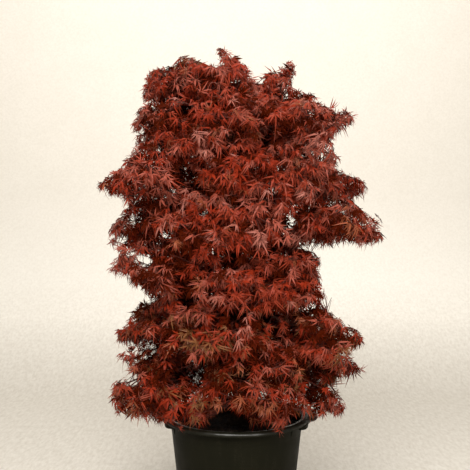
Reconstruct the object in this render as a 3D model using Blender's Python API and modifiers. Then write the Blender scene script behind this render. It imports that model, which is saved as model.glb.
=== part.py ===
# Potted Shaina Japanese maple: a broad upright crown of layered red foliage on a short
# flared trunk, in a round black nursery pot filled with bark compost.
# Metres, +Z up, -Y is the front, and the origin is under the middle of the pot.

import math
from random import Random

import bmesh
import bpy
from mathutils import Euler, Matrix, Vector

# Clearance between two solids that touch in the real plant
GAP = 0.0003
UP = Vector((0, 0, 1))
SEED = 7

# Pot: a thin tapered wall with a wide lip and two hand grips. Each grip is a plate that widens
# the lip and a bell-shaped skirt below it, with room for the fingers behind
POT_HEIGHT = 0.290
POT_TOP_RADIUS = 0.182
POT_BASE_RADIUS = 0.149
POT_WALL = 0.0032
POT_FLOOR = 0.005
LIP_OUT = 0.0165
LIP_HEIGHT = 0.0125
POT_STEPS = 36
GRIP_REACH = 0.222
GRIP_TOP = POT_HEIGHT - 0.0015
GRIP_SKIRT = ((0.2195, 0.2845), (0.2090, 0.2820), (0.2030, 0.2765), (0.1980, 0.2700), (0.1965, 0.2615))
GRIP_ROOM = ((0.1990, 0.2755), (0.1946, 0.2700), (0.1931, 0.2615), (0.1931, 0.2515))
GRIP_SINK = 0.0015
GRIP_TURN = -2
GRIP_SWEEP = 40
GRIP_STEPS = 6
ROOM_CLEAR = 0.0012
ROOM_SWEEP = 28
ROOM_STEPS = 4
DRAIN_HOLES = 6
DRAIN_RADIUS = 0.009
DRAIN_CIRCLE = 0.105

# Compost, slightly mounded at the trunk
SOIL_TOP = 0.262
SOIL_EDGE = 0.256
SOIL_MOUND = 0.075

# Trunk and the three leaders that rise with it
TRUNK_FOOT = Vector((0.006, 0.008, SOIL_TOP + GAP))
TRUNK_TIP = Vector((-0.030, -0.034, 1.150))
TRUNK_RADIUS = 0.0185
TRUNK_TIP_RADIUS = 0.0050
TRUNK_SWAY = 0.016
FLARE = ((0.0, 1.85), (0.010, 1.42), (0.028, 1.14), (0.055, 1.0))
LEADER_RADIUS = 0.0105
LEADER_TIP_RADIUS = 0.0045
LEADER_BARE = 0.030
LEADER_LESS = 0.008
# Name of the mass it ends in, and the height where it leaves the trunk
LEADERS = (("top_left", 0.345), ("top_right", 0.385), ("top_back", 0.425))

# Side boughs
BOUGH_RADIUS = 0.0068
BOUGH_TIP_RADIUS = 0.0036
BOUGH_RISE = 0.045
BOUGH_SLOPE = 0.30
BOUGH_LEAST = 0.045

# Crown. The top masses: heart, the way each faces, and its half widths out, across and up
TOPS = {
    "top_middle": ((-0.042, -0.070, 1.196), (0, -1), (0.140, 0.120, 0.098)),
    "top_left": ((-0.158, 0.010, 1.178), (-1, 0), (0.118, 0.160, 0.110)),
    "top_right": ((0.120, 0.010, 1.160), (1, 0), (0.125, 0.150, 0.100)),
    "top_back": ((-0.010, 0.135, 1.165), (0, 1), (0.130, 0.150, 0.100)),
}
# The tiers below, from the top down: turn in degrees, then the height of the heart and how
# far the foliage reaches from the pot's middle, for the right, the back, the left and the front
TIERS = (
    (-12, ((1.078, 0.350), (1.055, 0.305), (1.092, 0.312), (1.048, 0.290))),
    (15, ((0.940, 0.402), (0.920, 0.325), (0.940, 0.412), (0.915, 0.310))),
    (-9, ((0.815, 0.432), (0.790, 0.335), (0.815, 0.382), (0.785, 0.320))),
    (12, ((0.690, 0.262), (0.660, 0.335), (0.692, 0.372), (0.655, 0.315))),
    (-14, ((0.538, 0.382), (0.528, 0.330), (0.540, 0.376), (0.532, 0.310))),
    (9, ((0.418, 0.362), (0.405, 0.320), (0.402, 0.374), (0.428, 0.290))),
)
SIDES = ("right", "back", "left", "front")
OUT_SHARE = 0.50
OUT_LESS = 0.020
HEART_CLEAR = 0.085
LEAST_INNER = 0.060
SIDE_SHARE = 0.90
SIDE_MORE = 0.085
TIER_UP = 0.110
TIER_DOWN = 0.105
LOW_DOWN = 0.130
TILT = 12
MASS_GAP = 0.004
LIMB_CLEAR = 0.003
# The lowest masses keep above a plane that just clears the rim, or a grip, and falls outwards
RIM_PASS = (0.198, 0.297, 18)
GRIP_PASS = (0.236, 0.297, 30)

# What grows in a mass: a stem, a dense core, broad lobed leaves and a few longer twigs
CORE_SHARE = 0.77
CORE_UNEVEN = 0.06
LEAF_COUNT = 16
LEAF_LENGTH = 0.130
LEAF_UNEVEN = 0.12
LEAF_THICK = 0.030
LEAF_SIZES = (1.0, 0.90, 0.80, 0.70, 0.60, 0.50)
LEAF_STANDS = (46, 38, 30, 22, 14)
LEAF_ROOT = 0.60
LEAF_SINK = 0.0
LEAF_CUP = 0.12
LOBE_PASS = 1.30
LEAF_BACK = -0.50
TWIG_EVERY = 9
TWIG_RADIUS = 0.0026
TWIG_SHARE = 0.90
# Each lobe's angle from the middle one in degrees and its share of the leaf's length
LOBES = ((-88, 0.58), (-44, 0.86), (0, 1.0), (44, 0.86), (88, 0.58))
NOTCH = 0.46
ROOT_TAIL = 0.24
GOLDEN_ANGLE = math.pi * (3 - math.sqrt(5))

COLOURS = {
    "pot_plastic": ((0.013, 0.012, 0.010), 0.42),
    "compost": ((0.030, 0.020, 0.014), 0.95),
    "bark": ((0.105, 0.070, 0.050), 0.85),
    "leaf_red": ((0.205, 0.030, 0.022), 0.55),
    "leaf_dark": ((0.110, 0.018, 0.014), 0.60),
    "leaf_rust": ((0.225, 0.052, 0.022), 0.55),
}
LEAF_MATERIALS = ("leaf_red", "leaf_dark", "leaf_rust")


def clear_scene():
    for thing in list(bpy.data.objects):
        bpy.data.objects.remove(thing)


def collection(name):
    made = bpy.data.collections.new(name)
    bpy.context.scene.collection.children.link(made)
    return made


def material(name):
    found = bpy.data.materials.get(name)
    if found:
        return found
    colour, roughness = COLOURS[name]
    made = bpy.data.materials.new(name)
    made.use_nodes = True
    shader = made.node_tree.nodes["Principled BSDF"]
    shader.inputs["Base Color"].default_value = (*colour, 1)
    shader.inputs["Roughness"].default_value = roughness
    shader.inputs["Metallic"].default_value = 0
    made.diffuse_color = (*colour, 1)
    return made


def add_object(name, data, home, finish):
    made = bpy.data.objects.new(name, data)
    home.objects.link(made)
    made.data.materials.clear()
    made.data.materials.append(material(finish))
    return made


def mesh_from(bm, name):
    mesh = bpy.data.meshes.new(name)
    bmesh.ops.recalc_face_normals(bm, faces=bm.faces)
    bm.to_mesh(mesh)
    bm.free()
    return mesh


def apply_modifiers(thing):
    """The object's own mesh becomes the one its modifiers make."""
    bpy.context.view_layer.update()
    graph = bpy.context.evaluated_depsgraph_get()
    mesh = bpy.data.meshes.new_from_object(thing.evaluated_get(graph))
    thing.modifiers.clear()
    thing.data = mesh
    return thing


def boolean(thing, other, operation, solver="EXACT"):
    """Joins or cuts an object by another, or by all of a collection, and applies it."""
    step = thing.modifiers.new(operation.lower(), "BOOLEAN")
    step.operation = operation
    step.solver = solver
    if isinstance(other, bpy.types.Collection):
        step.operand_type = "COLLECTION"
        step.collection = other
    else:
        step.object = other
    return apply_modifiers(thing)


def turned(name, profile, home, finish, steps=POT_STEPS):
    """A closed solid turned about Z from a profile of (radius, height) that ends on the axis."""
    bm = bmesh.new()
    points = [bm.verts.new((radius, 0, height)) for radius, height in profile]
    for first, second in zip(points, points[1:]):
        bm.edges.new((first, second))
    mesh = bpy.data.meshes.new(name)
    bm.to_mesh(mesh)
    bm.free()
    made = add_object(name, mesh, home, finish)
    screw = made.modifiers.new("turn", "SCREW")
    screw.steps = screw.render_steps = steps
    screw.use_merge_vertices = True
    screw.merge_threshold = 0.00005
    screw.use_smooth_shade = False
    return made


def wall_radius(height):
    """The pot's outside radius at a height."""
    return POT_BASE_RADIUS + (POT_TOP_RADIUS - POT_BASE_RADIUS) * height / POT_HEIGHT


def swept(section, turn, sweep, steps):
    """A closed outline of (radius, height) swept about Z, with its middle at a turn in degrees."""
    bm = bmesh.new()
    start = Matrix.Rotation(math.radians(turn - sweep / 2), 3, "Z")
    face = bm.faces.new([bm.verts.new(start @ Vector((x, 0, z))) for x, z in section])
    bmesh.ops.spin(bm, geom=[face], cent=(0, 0, 0), axis=(0, 0, 1), steps=steps, angle=math.radians(sweep))
    return bm


def make_grip(name, turn, cutters):
    """A hand grip that closes in on the wall at both ends, still without its room for fingers."""
    low = GRIP_SKIRT[-1][1]
    section = [(wall_radius(GRIP_TOP) - GRIP_SINK, GRIP_TOP), (GRIP_REACH, GRIP_TOP)]
    section += GRIP_SKIRT
    section += [(wall_radius(low) - GRIP_SINK, low)]
    bm = swept(section, turn, GRIP_SWEEP, GRIP_STEPS)
    for vert in bm.verts:
        radius = math.hypot(vert.co.x, vert.co.y)
        angle = math.degrees(math.atan2(vert.co.y, vert.co.x)) - turn
        share = ((angle + 180) % 360 - 180) / (GRIP_SWEEP / 2)
        swell = 0.05 + 0.95 * math.sqrt(max(0.0, 1 - share**6))
        least = wall_radius(vert.co.z) - GRIP_SINK
        wanted = least + (radius - least) * swell
        vert.co.x *= wanted / radius
        vert.co.y *= wanted / radius
    return add_object(name, mesh_from(bm, name), cutters, "pot_plastic")


def grip_room(name, turn, cutters):
    """The room for fingers behind a grip, open below."""
    top, low = GRIP_ROOM[0][1], GRIP_ROOM[-1][1]
    section = [(wall_radius(top) + ROOM_CLEAR, top)]
    section += GRIP_ROOM
    section += [(wall_radius(low) + ROOM_CLEAR, low)]
    bm = swept(section, turn, ROOM_SWEEP, ROOM_STEPS)
    return add_object(name, mesh_from(bm, name), cutters, "pot_plastic")


def make_pot(home, cutters):
    inside = POT_WALL
    lip = POT_TOP_RADIUS + LIP_OUT
    profile = (
        (0, POT_FLOOR),
        (wall_radius(POT_FLOOR) - inside, POT_FLOOR),
        (POT_TOP_RADIUS - inside, POT_HEIGHT - 0.004),
        (POT_TOP_RADIUS - inside + 0.002, POT_HEIGHT),
        (lip - 0.003, POT_HEIGHT),
        (lip, POT_HEIGHT - 0.003),
        (lip, POT_HEIGHT - LIP_HEIGHT),
        (wall_radius(POT_HEIGHT - LIP_HEIGHT) + 0.0005, POT_HEIGHT - LIP_HEIGHT - 0.001),
        (POT_BASE_RADIUS, 0.003),
        (POT_BASE_RADIUS - 0.003, 0),
        (0, 0),
    )
    pot = apply_modifiers(turned("pot", profile, home, "pot_plastic"))
    for side in range(2):
        turn = GRIP_TURN + 180 * side
        boolean(pot, make_grip(f"grip_{side}", turn, cutters), "UNION")
        boolean(pot, grip_room(f"grip_room_{side}", turn, cutters), "DIFFERENCE")
    for hole in range(DRAIN_HOLES):
        angle = math.tau * hole / DRAIN_HOLES
        bm = bmesh.new()
        bmesh.ops.create_cone(
            bm, cap_ends=True, segments=8, radius1=DRAIN_RADIUS, radius2=DRAIN_RADIUS, depth=POT_FLOOR * 4
        )
        drill = add_object(f"drill_{hole}", mesh_from(bm, "drill"), cutters, "pot_plastic")
        drill.location = (DRAIN_CIRCLE * math.cos(angle), DRAIN_CIRCLE * math.sin(angle), 0)
        boolean(pot, drill, "DIFFERENCE")
    pot.data.set_sharp_from_angle(angle=math.radians(35))
    return pot


def make_soil(home):
    floor = POT_FLOOR + GAP
    clear = POT_WALL + 2 * GAP
    profile = (
        (0, SOIL_TOP),
        (SOIL_MOUND, SOIL_TOP),
        (wall_radius(SOIL_EDGE) - clear, SOIL_EDGE),
        (wall_radius(floor) - clear, floor),
        (0, floor),
    )
    return turned("compost", profile, home, "compost", 28)


class Limb:
    """A tapering limb: points along its middle, the radius at each, and how round it is."""

    def __init__(self, name, points, radii, roundness=1):
        self.name, self.points, self.radii, self.roundness = name, points, radii, roundness

    def at_height(self, height):
        """The point, direction and radius where the limb first passes a height."""
        for i in range(len(self.points) - 1):
            low, high = self.points[i], self.points[i + 1]
            if low.z <= height <= high.z:
                share = (height - low.z) / (high.z - low.z)
                radius = self.radii[i] + (self.radii[i + 1] - self.radii[i]) * share
                return low.lerp(high, share), (high - low).normalized(), radius
        return None

    def pieces(self):
        return zip(self.points, self.points[1:], self.radii, self.radii[1:])


def bend(start, leave, end, arrive, count, pull=0.40):
    """Points on a smooth curve that leaves and arrives in two given directions."""
    arm = (end - start).length * pull
    first, second = start + leave * arm, end - arrive * arm
    points = []
    for i in range(count):
        t = i / (count - 1)
        u = 1 - t
        points.append(start * u**3 + first * (3 * u * u * t) + second * (3 * u * t * t) + end * t**3)
    return points


def taper(count, start, end, power=0.85):
    return [start + (end - start) * (i / (count - 1)) ** power for i in range(count)]


def trunk_limb():
    heights = [z for z, _ in FLARE] + [0.10 + 0.075 * i for i in range(11)]
    length = TRUNK_TIP.z - TRUNK_FOOT.z
    points, radii = [], []
    for height in heights + [length]:
        # The flare stands straight up, so that its foot is cut level with the compost
        share = max(0.0, height - FLARE[-1][0]) / length
        sway = TRUNK_SWAY * math.sin(math.tau * share) * (1 - share)
        place = TRUNK_FOOT.lerp(TRUNK_TIP, share) + Vector((sway, -sway * 0.6, 0))
        place.z = TRUNK_FOOT.z + height
        points.append(place)
        radius = TRUNK_RADIUS + (TRUNK_TIP_RADIUS - TRUNK_RADIUS) * share**0.8
        flare = next((f for z, f in FLARE if abs(z - height) < 1e-9), 1.0)
        radii.append(radius * flare)
    return Limb("trunk", points, radii, 3)


class Space:
    """The room that one mass keeps to: a lopsided ellipsoid round its heart, cut by planes.

    half_widths are the reaches out, in, to either side, up and down."""

    def __init__(self, name, heart, out, half_widths):
        self.name, self.heart = name, Vector(heart)
        side = UP.cross(out).normalized()
        self.axes = Matrix((out, side, out.cross(side))).transposed()
        self.half_widths = half_widths
        self.planes = []

    def stretched(self, local):
        """The point of the ellipsoid that belongs to a point of a unit ball, from the heart."""
        far, near, side, up, down = self.half_widths
        x = local.x * (far if local.x > 0 else near)
        z = local.z * (up if local.z > 0 else down)
        return self.axes @ Vector((x, local.y * side, z))

    def reach(self, direction):
        """How far the space goes from its heart in a direction."""
        local = self.axes.transposed() @ direction
        far, near, side, up, down = self.half_widths
        ball = Vector((
            local.x / (far if local.x > 0 else near),
            local.y / side,
            local.z / (up if local.z > 0 else down),
        ))
        most = 1 / ball.length
        return min(most, self.clear_reach(direction))

    def clear_reach(self, direction):
        """How far the planes let the mass go in a direction."""
        most = math.inf
        for normal, distance in self.planes:
            along = normal.dot(direction)
            if along > 1e-6:
                most = min(most, distance / along)
        return most

    def holds(self, point, past=1.0):
        """Whether a point is between the planes, and no more than so far past the ellipsoid."""
        offset = point - self.heart
        way = offset.normalized()
        return offset.length <= min(self.clear_reach(way), self.reach(way) * past)

    def cut(self, point, clear):
        """Keeps the space clear of a point, by a plane square to the way there."""
        offset = point - self.heart
        normal = offset.normalized()
        distance = offset.length - clear
        if distance < self.reach(normal) + 0.5:
            self.planes.append((normal, distance))


def top_spaces():
    spaces = []
    for name, (heart, (x, y), (out, across, high)) in TOPS.items():
        spaces.append(Space(name, heart, Vector((x, y, 0)), (out, out, across, high, high)))
    return spaces


def tier_spaces():
    spaces = []
    for number, (turn, quarters) in enumerate(TIERS):
        for quarter, (height, reach) in enumerate(quarters):
            angle = math.radians(turn + 90 * quarter)
            flat = Vector((math.cos(angle), math.sin(angle), 0))
            far = reach * OUT_SHARE - OUT_LESS
            heart = flat * (reach - far) + UP * height
            near = max(heart.xy.length - HEART_CLEAR, LEAST_INNER)
            side = heart.xy.length * SIDE_SHARE + SIDE_MORE
            down = LOW_DOWN if number == len(TIERS) - 1 else TIER_DOWN
            tilt = Matrix.Rotation(math.radians(TILT), 3, flat.cross(-UP))
            name = f"tier_{number + 1}_{SIDES[quarter]}"
            spaces.append(Space(name, heart, tilt @ flat, (far, near, side, TIER_UP, down)))
    return spaces


def part_spaces(spaces):
    """A plane between each two masses, nearer to the one that is smaller that way."""
    for i, one in enumerate(spaces):
        for other in spaces[i + 1 :]:
            offset = other.heart - one.heart
            way = offset.normalized()
            first, second = one.reach(way), other.reach(-way)
            if offset.length > 2.2 * (first + second):
                continue
            share = first / (first + second)
            one.planes.append((way, offset.length * share - MASS_GAP / 2))
            other.planes.append((-way, offset.length * (1 - share) - MASS_GAP / 2))


def nearest_on(start, end, point):
    along = end - start
    share = max(0.0, min(1.0, (point - start).dot(along) / along.length_squared))
    return start + along * share, share


def clear_of_limb(space, limb):
    for start, end, first, last in limb.pieces():
        near, share = nearest_on(start, end, space.heart)
        space.cut(near, first + (last - first) * share + LIMB_CLEAR)


def clear_of_pot(space):
    """Keeps one of the lowest masses above the pot's rim, or above the grip on its side."""
    radius, height, fall = GRIP_PASS if space.name.endswith(("right", "left")) else RIM_PASS
    flat = Vector((space.heart.x, space.heart.y, 0)).normalized()
    fall = math.radians(fall)
    normal = -flat * math.sin(fall) - UP * math.cos(fall)
    space.planes.append((normal, normal.dot(flat * radius + UP * height - space.heart)))


def entry(space, parent_point):
    """Where a limb's tip meets the mass: a little inside it, on the side that faces its parent."""
    back = parent_point - space.heart
    depth = min(space.reach(back.normalized()) * 0.86, back.length - BOUGH_LEAST)
    return space.heart + back.normalized() * max(depth, 0.015)


def leader_limb(space, trunk, height):
    start, along, _ = trunk.at_height(height)
    below = space.heart - UP * 0.2 + (trunk.at_height(height + 0.3)[0] - space.heart) * 0.15
    tip = entry(space, below)
    flat = Vector((space.heart.x, space.heart.y, 0)).normalized()
    leave = (along + flat * 0.32).normalized()
    arrive = (UP + flat * 0.45).normalized()
    points = bend(start, leave, tip, arrive, 10, 0.33)
    return Limb(f"leader_{space.name}", points, taper(10, LEADER_RADIUS, LEADER_TIP_RADIUS), 2)


def bough_limb(space, parents):
    """A side bough from the nearest parent limb that still rises below the mass."""
    choices = []
    for parent in parents:
        flat_way = (space.heart - parent.points[-1]).xy.length
        height = space.heart.z - BOUGH_RISE - BOUGH_SLOPE * min(flat_way, 0.16)
        found = parent.at_height(height)
        if found and (parent.name == "trunk" or height > parent.points[0].z + LEADER_BARE):
            point, along, radius = found
            away = (space.heart - point).length + (LEADER_LESS if parent.name != "trunk" else 0)
            choices.append((away, parent.name, parent, point, along, radius))
    _, _, parent, point, along, radius = min(choices, key=lambda c: c[:2])
    tip = entry(space, point)
    flat = Vector((tip.x - point.x, tip.y - point.y, 0)).normalized()
    leave = (flat + along * 0.75).normalized()
    arrive = (space.heart - tip).normalized()
    points = bend(point, leave, tip, arrive, 5)
    widest = min(BOUGH_RADIUS, radius * 0.8)
    return Limb(f"bough_{space.name}", points, taper(5, widest, BOUGH_TIP_RADIUS)), parent


def tube(name, limb, home, finish, more=0.0):
    """A closed tube mesh round a limb's line of points."""
    curve = bpy.data.curves.new(name, "CURVE")
    curve.dimensions = "3D"
    curve.bevel_depth = 1.0
    curve.bevel_resolution = limb.roundness
    curve.use_fill_caps = True
    line = curve.splines.new("POLY")
    line.points.add(len(limb.points) - 1)
    for point, place, radius in zip(line.points, limb.points, limb.radii):
        point.co = (*place, 1)
        point.radius = radius + more
    holder = bpy.data.objects.new(name + "_curve", curve)
    home.objects.link(holder)
    bpy.context.view_layer.update()
    graph = bpy.context.evaluated_depsgraph_get()
    mesh = bpy.data.meshes.new_from_object(holder.evaluated_get(graph))
    bpy.data.objects.remove(holder)
    bm = bmesh.new()
    bm.from_mesh(mesh)
    bmesh.ops.remove_doubles(bm, verts=bm.verts, dist=1e-6)
    bmesh.ops.recalc_face_normals(bm, faces=bm.faces)
    bm.to_mesh(mesh)
    bm.free()
    return add_object(name, mesh, home, finish)


def make_limb(limb, home, cutters, parent=None):
    """A limb, its foot cut to lie against its parent with a fine gap."""
    made = tube(limb.name, limb, home, "bark")
    if parent:
        grown = tube(parent.name + "_cut", parent, cutters, "bark", GAP)
        boolean(made, grown, "DIFFERENCE")
        bpy.data.objects.remove(grown)
    made.data.shade_smooth()
    made.data.set_sharp_from_angle(angle=math.radians(50))
    return made


def ball_directions(count, turn):
    """Points spread evenly over a unit ball by the golden angle, the first one straight out."""
    points = [Vector((1, 0, 0))]
    for i in range(count):
        height = 1 - (2 * i + 1) / count
        ring = math.sqrt(1 - height * height)
        angle = i * GOLDEN_ANGLE + turn
        points.append(Vector((ring * math.cos(angle), ring * math.sin(angle), height)))
    return points


def leaf_axes(way, out, stand):
    """The leaf's own axes: along its middle lobe, across it, and up from its face."""
    hang = way * way.z - UP
    if hang.length < 0.35 or way.z > 0.85:
        hang = out - way * out.dot(way)
    angle = math.radians(stand)
    along = (way * math.sin(angle) + hang.normalized() * math.cos(angle)).normalized()
    face = (way - along * way.dot(along)).normalized()
    return Matrix((along, face.cross(along), face)).transposed()


def leaf_outline(length):
    """The leaf's edge in its own plane, from the tail round the lobes' tips and notches."""
    edge = [Vector((-ROOT_TAIL * length, 0, 0))]
    for i, (angle, share) in enumerate(LOBES):
        turn = math.radians(angle)
        tip = Vector((math.cos(turn), math.sin(turn), 0)) * share * length
        edge.append(tip - UP * LEAF_CUP * length * share * share)
        if i + 1 < len(LOBES):
            turn = math.radians((angle + LOBES[i + 1][0]) / 2)
            edge.append(Vector((math.cos(turn), math.sin(turn), 0)) * NOTCH * length)
    return edge


def leaf_mesh(name, root, axes, length):
    """A thin lobed leaf, thickest at its middle."""
    bm = bmesh.new()
    edge = [bm.verts.new(root + axes @ point) for point in leaf_outline(length)]
    half = length * LEAF_THICK / 2
    middle = Vector((length * 0.12, 0, 0))
    for offset in (half, -half):
        centre = bm.verts.new(root + axes @ (middle + UP * offset))
        for first, second in zip(edge, edge[1:] + edge[:1]):
            bm.faces.new((first, second, centre))
    return mesh_from(bm, name)


def place_leaf(space, way, out, length):
    """The largest size, then the steepest stand, at which the leaf keeps to its space."""
    root = space.heart + way * (space.reach(way) * LEAF_ROOT - LEAF_SINK)
    for size in LEAF_SIZES:
        tips = leaf_outline(length * size)[1::2]
        for stand in LEAF_STANDS:
            axes = leaf_axes(way, out, stand)
            ends = [root + axes @ tip for tip in tips]
            if space.holds(ends[len(LOBES) // 2]) and all(space.holds(end, LOBE_PASS) for end in ends):
                return root, axes, length * size
    return None


def make_leaves(space, out, loose, random):
    """Lobed leaves that stand out of the core and hang like shingles, a few on longer twigs."""
    for number, ball in enumerate(ball_directions(LEAF_COUNT, random.uniform(0, math.tau))):
        if ball.x < LEAF_BACK:
            continue
        way = space.stretched(ball).normalized()
        length = LEAF_LENGTH * random.uniform(1 - LEAF_UNEVEN, 1 + LEAF_UNEVEN)
        placed = place_leaf(space, way, out, length)
        if placed:
            add_object(f"leaf_{number}", leaf_mesh("leaf", *placed), loose, "leaf_red")
        if number % TWIG_EVERY == 0:
            end = space.heart + way * space.reach(way) * TWIG_SHARE
            twig = Limb("twig", [space.heart, end], (TWIG_RADIUS, TWIG_RADIUS * 0.5))
            add_object(f"twig_{number}", twig_mesh(twig), loose, "leaf_red")


def twig_mesh(twig):
    """A three-sided tapering twig."""
    start, end = twig.points
    bm = bmesh.new()
    bmesh.ops.create_cone(
        bm, cap_ends=True, segments=3, radius1=twig.radii[0], radius2=twig.radii[1], depth=(end - start).length
    )
    turn = (end - start).to_track_quat("Z", "Y").to_matrix().to_4x4()
    bmesh.ops.transform(bm, matrix=Matrix.Translation((start + end) / 2) @ turn, verts=bm.verts)
    return mesh_from(bm, "twig")


def keep_largest(mesh):
    """Drops loose scraps and the walls of sealed hollows that a join leaves."""
    bm = bmesh.new()
    bm.from_mesh(mesh)
    left, islands = set(bm.faces), []
    while left:
        island, front = [], [left.pop()]
        while front:
            face = front.pop()
            island.append(face)
            for edge in face.edges:
                for link in edge.link_faces:
                    if link in left:
                        left.discard(link)
                        front.append(link)
        islands.append(island)
    islands.sort(key=len)
    for island in islands[:-1]:
        bmesh.ops.delete(bm, geom=island, context="FACES")
    bm.to_mesh(mesh)
    bm.free()


def core_mesh(space, random):
    """The dense middle of a mass, a little uneven."""
    bm = bmesh.new()
    turn = Euler([random.uniform(0, math.tau) for _ in range(3)]).to_matrix().to_4x4()
    bmesh.ops.create_icosphere(bm, subdivisions=1, radius=1, matrix=turn)
    for vert in bm.verts:
        way = space.stretched(vert.co).normalized()
        share = CORE_SHARE + random.uniform(-CORE_UNEVEN, CORE_UNEVEN)
        vert.co = space.heart + way * space.reach(way) * share
    return mesh_from(bm, "core")


def make_mass(number, space, limb, home):
    """One mass of foliage: stem, core, twigs and leaves joined into one solid."""
    finish = LEAF_MATERIALS[number % len(LEAF_MATERIALS)]
    random = Random(SEED + number)
    loose = collection(f"loose_{space.name}")
    mass = add_object(f"foliage_{space.name}", core_mesh(space, random), home, finish)
    tip = limb.points[-1]
    way = (tip - limb.points[-2]).normalized()
    radius = limb.radii[-1]
    points = [tip + way * GAP, tip + way * 0.006, space.heart]
    tube("stem", Limb("stem", points, (radius, radius * 0.95, radius * 0.7)), loose, finish)
    make_leaves(space, space.axes.col[0].copy(), loose, random)
    boolean(mass, loose, "UNION", "MANIFOLD")
    keep_largest(mass.data)
    for thing in list(loose.objects):
        bpy.data.objects.remove(thing)
    bpy.data.collections.remove(loose)


def main():
    clear_scene()
    home = collection("Potted Japanese maple")
    cutters = collection("Cutters")
    make_pot(home, cutters)
    for cutter in list(cutters.objects):
        bpy.data.objects.remove(cutter)
    make_soil(home)

    tops, tiers = top_spaces(), tier_spaces()
    spaces = tops + tiers
    part_spaces(spaces)
    for space in tiers[-len(SIDES) :]:
        clear_of_pot(space)

    trunk = trunk_limb()
    by_name = {space.name: space for space in spaces}
    limbs = {"top_middle": trunk}
    make_limb(trunk, home, cutters)
    for name, height in LEADERS:
        limbs[name] = leader_limb(by_name[name], trunk, height)
        make_limb(limbs[name], home, cutters, trunk)
    parents = list(limbs.values())
    for space in tiers:
        limbs[space.name], parent = bough_limb(space, parents)
        make_limb(limbs[space.name], home, cutters, parent)

    for space in spaces:
        for name, limb in limbs.items():
            if name != space.name:
                clear_of_limb(space, limb)
        clear_of_limb(space, Limb("tip", limbs[space.name].points[-3:], limbs[space.name].radii[-3:]))
    for number, space in enumerate(spaces):
        make_mass(number, space, limbs[space.name], home)


main()
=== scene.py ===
# Looks of a potted dwarf maple with red leaves: bark, twigs and leaves grown by the rule of its solids,
# a moulded nursery pot with bark compost, and a pale studio sweep.
# Metres, +Z up, -Y is the front, and the origin is under the middle of the pot.

import math
from random import Random

import bmesh
import bpy
import numpy as np
from mathutils import Euler, Matrix, Vector, noise


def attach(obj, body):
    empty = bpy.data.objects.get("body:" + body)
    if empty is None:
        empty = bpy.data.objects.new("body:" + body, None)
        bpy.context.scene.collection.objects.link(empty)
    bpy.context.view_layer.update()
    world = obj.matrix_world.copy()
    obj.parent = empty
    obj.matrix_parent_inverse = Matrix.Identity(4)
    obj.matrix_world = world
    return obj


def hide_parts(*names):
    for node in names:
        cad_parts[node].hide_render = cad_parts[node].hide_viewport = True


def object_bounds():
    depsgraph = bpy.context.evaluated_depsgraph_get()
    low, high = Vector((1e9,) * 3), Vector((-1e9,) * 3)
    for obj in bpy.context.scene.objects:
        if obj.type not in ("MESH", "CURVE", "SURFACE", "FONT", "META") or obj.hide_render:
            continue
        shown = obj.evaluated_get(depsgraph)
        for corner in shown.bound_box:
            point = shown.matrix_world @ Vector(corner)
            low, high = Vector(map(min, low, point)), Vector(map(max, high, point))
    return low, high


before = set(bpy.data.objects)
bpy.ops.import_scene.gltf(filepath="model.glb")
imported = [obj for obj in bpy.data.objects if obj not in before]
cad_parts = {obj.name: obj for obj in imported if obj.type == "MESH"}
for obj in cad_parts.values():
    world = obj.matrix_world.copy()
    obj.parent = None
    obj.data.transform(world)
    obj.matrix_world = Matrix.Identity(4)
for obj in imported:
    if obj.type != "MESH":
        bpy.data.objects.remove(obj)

UP = Vector((0, 0, 1))
SEED = 7
GAP = 0.0003


def in_metres(*rows):
    """Rows of numbers in millimetres, as metres."""
    return tuple(tuple(number / 1000 for number in row) for row in rows)


# The camera stands level in front of the plant
CAMERA_PLACE = (-0.004, -1.94, 0.78)
CAMERA_LENS = 54

# Lights: name, place, where each looks, its two sides, power and colour
PLAIN_LIGHT, WARM_LIGHT = (1.0, 0.975, 0.93), (1.0, 0.955, 0.89)
LIGHTS = (
    ("key", (-0.42, -2.8, 2.70), (0, 0, 0.8), (2.3, 1.0), 143, PLAIN_LIGHT),
    ("fill", (1.5, -2.8, 1.8), (0, 0, 0.8), (1.2, 1.2), 38, PLAIN_LIGHT),
    ("top", (0, 0.1, 3.4), (0, 0, 0.8), (1.6, 1.2), 18, PLAIN_LIGHT),
    ("wall", (0, 0.7, 3.3), (0, 2.6, 1.5), (4.0, 0.5), 45, WARM_LIGHT),
)
AIR_COLOUR = (1.0, 0.96, 0.88)
AIR_STRENGTH = 0.225

# Pot, as in its solid, with the finer forms of the moulding
POT_HEIGHT = 0.290
POT_TOP_RADIUS = 0.182
POT_BASE_RADIUS = 0.149
POT_WALL = 0.0032
POT_FLOOR = 0.005
LIP_OUT = 0.0165
LIP_HEIGHT = 0.0125
POT_STEPS = 144
SHOULDER_HEIGHT = 0.250
SHOULDER_OUT = 0.0009
RIB_COUNT = 6
RIB_TURN = -97
GRIP_REACH = 0.222
GRIP_TOP = POT_HEIGHT - 0.0015
GRIP_SKIRT = ((0.2195, 0.2845), (0.2090, 0.2820), (0.2030, 0.2765), (0.1980, 0.2700), (0.1965, 0.2615))
GRIP_ROOM = ((0.1990, 0.2755), (0.1946, 0.2700), (0.1931, 0.2615), (0.1931, 0.2515))
GRIP_SINK = 0.0015
GRIP_TURN = -2
GRIP_SWEEP = 40
GRIP_STEPS = 30
ROOM_CLEAR = 0.0012
ROOM_SWEEP = 28
ROOM_STEPS = 18
DRAIN_HOLES = 6
DRAIN_RADIUS = 0.009
DRAIN_CIRCLE = 0.105

# Compost
SOIL_TOP = 0.262
SOIL_EDGE = 0.256
SOIL_MOUND = 0.075
SOIL_RINGS = 46
CHIP_COUNT = 620
CHIP_LONG = (0.003, 0.011)
# The unevenness of the compost: how close its bumps are, and how high
SOIL_BUMPS = ((34, 0.0034), (95, 0.0018), (260, 0.0008))

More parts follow.
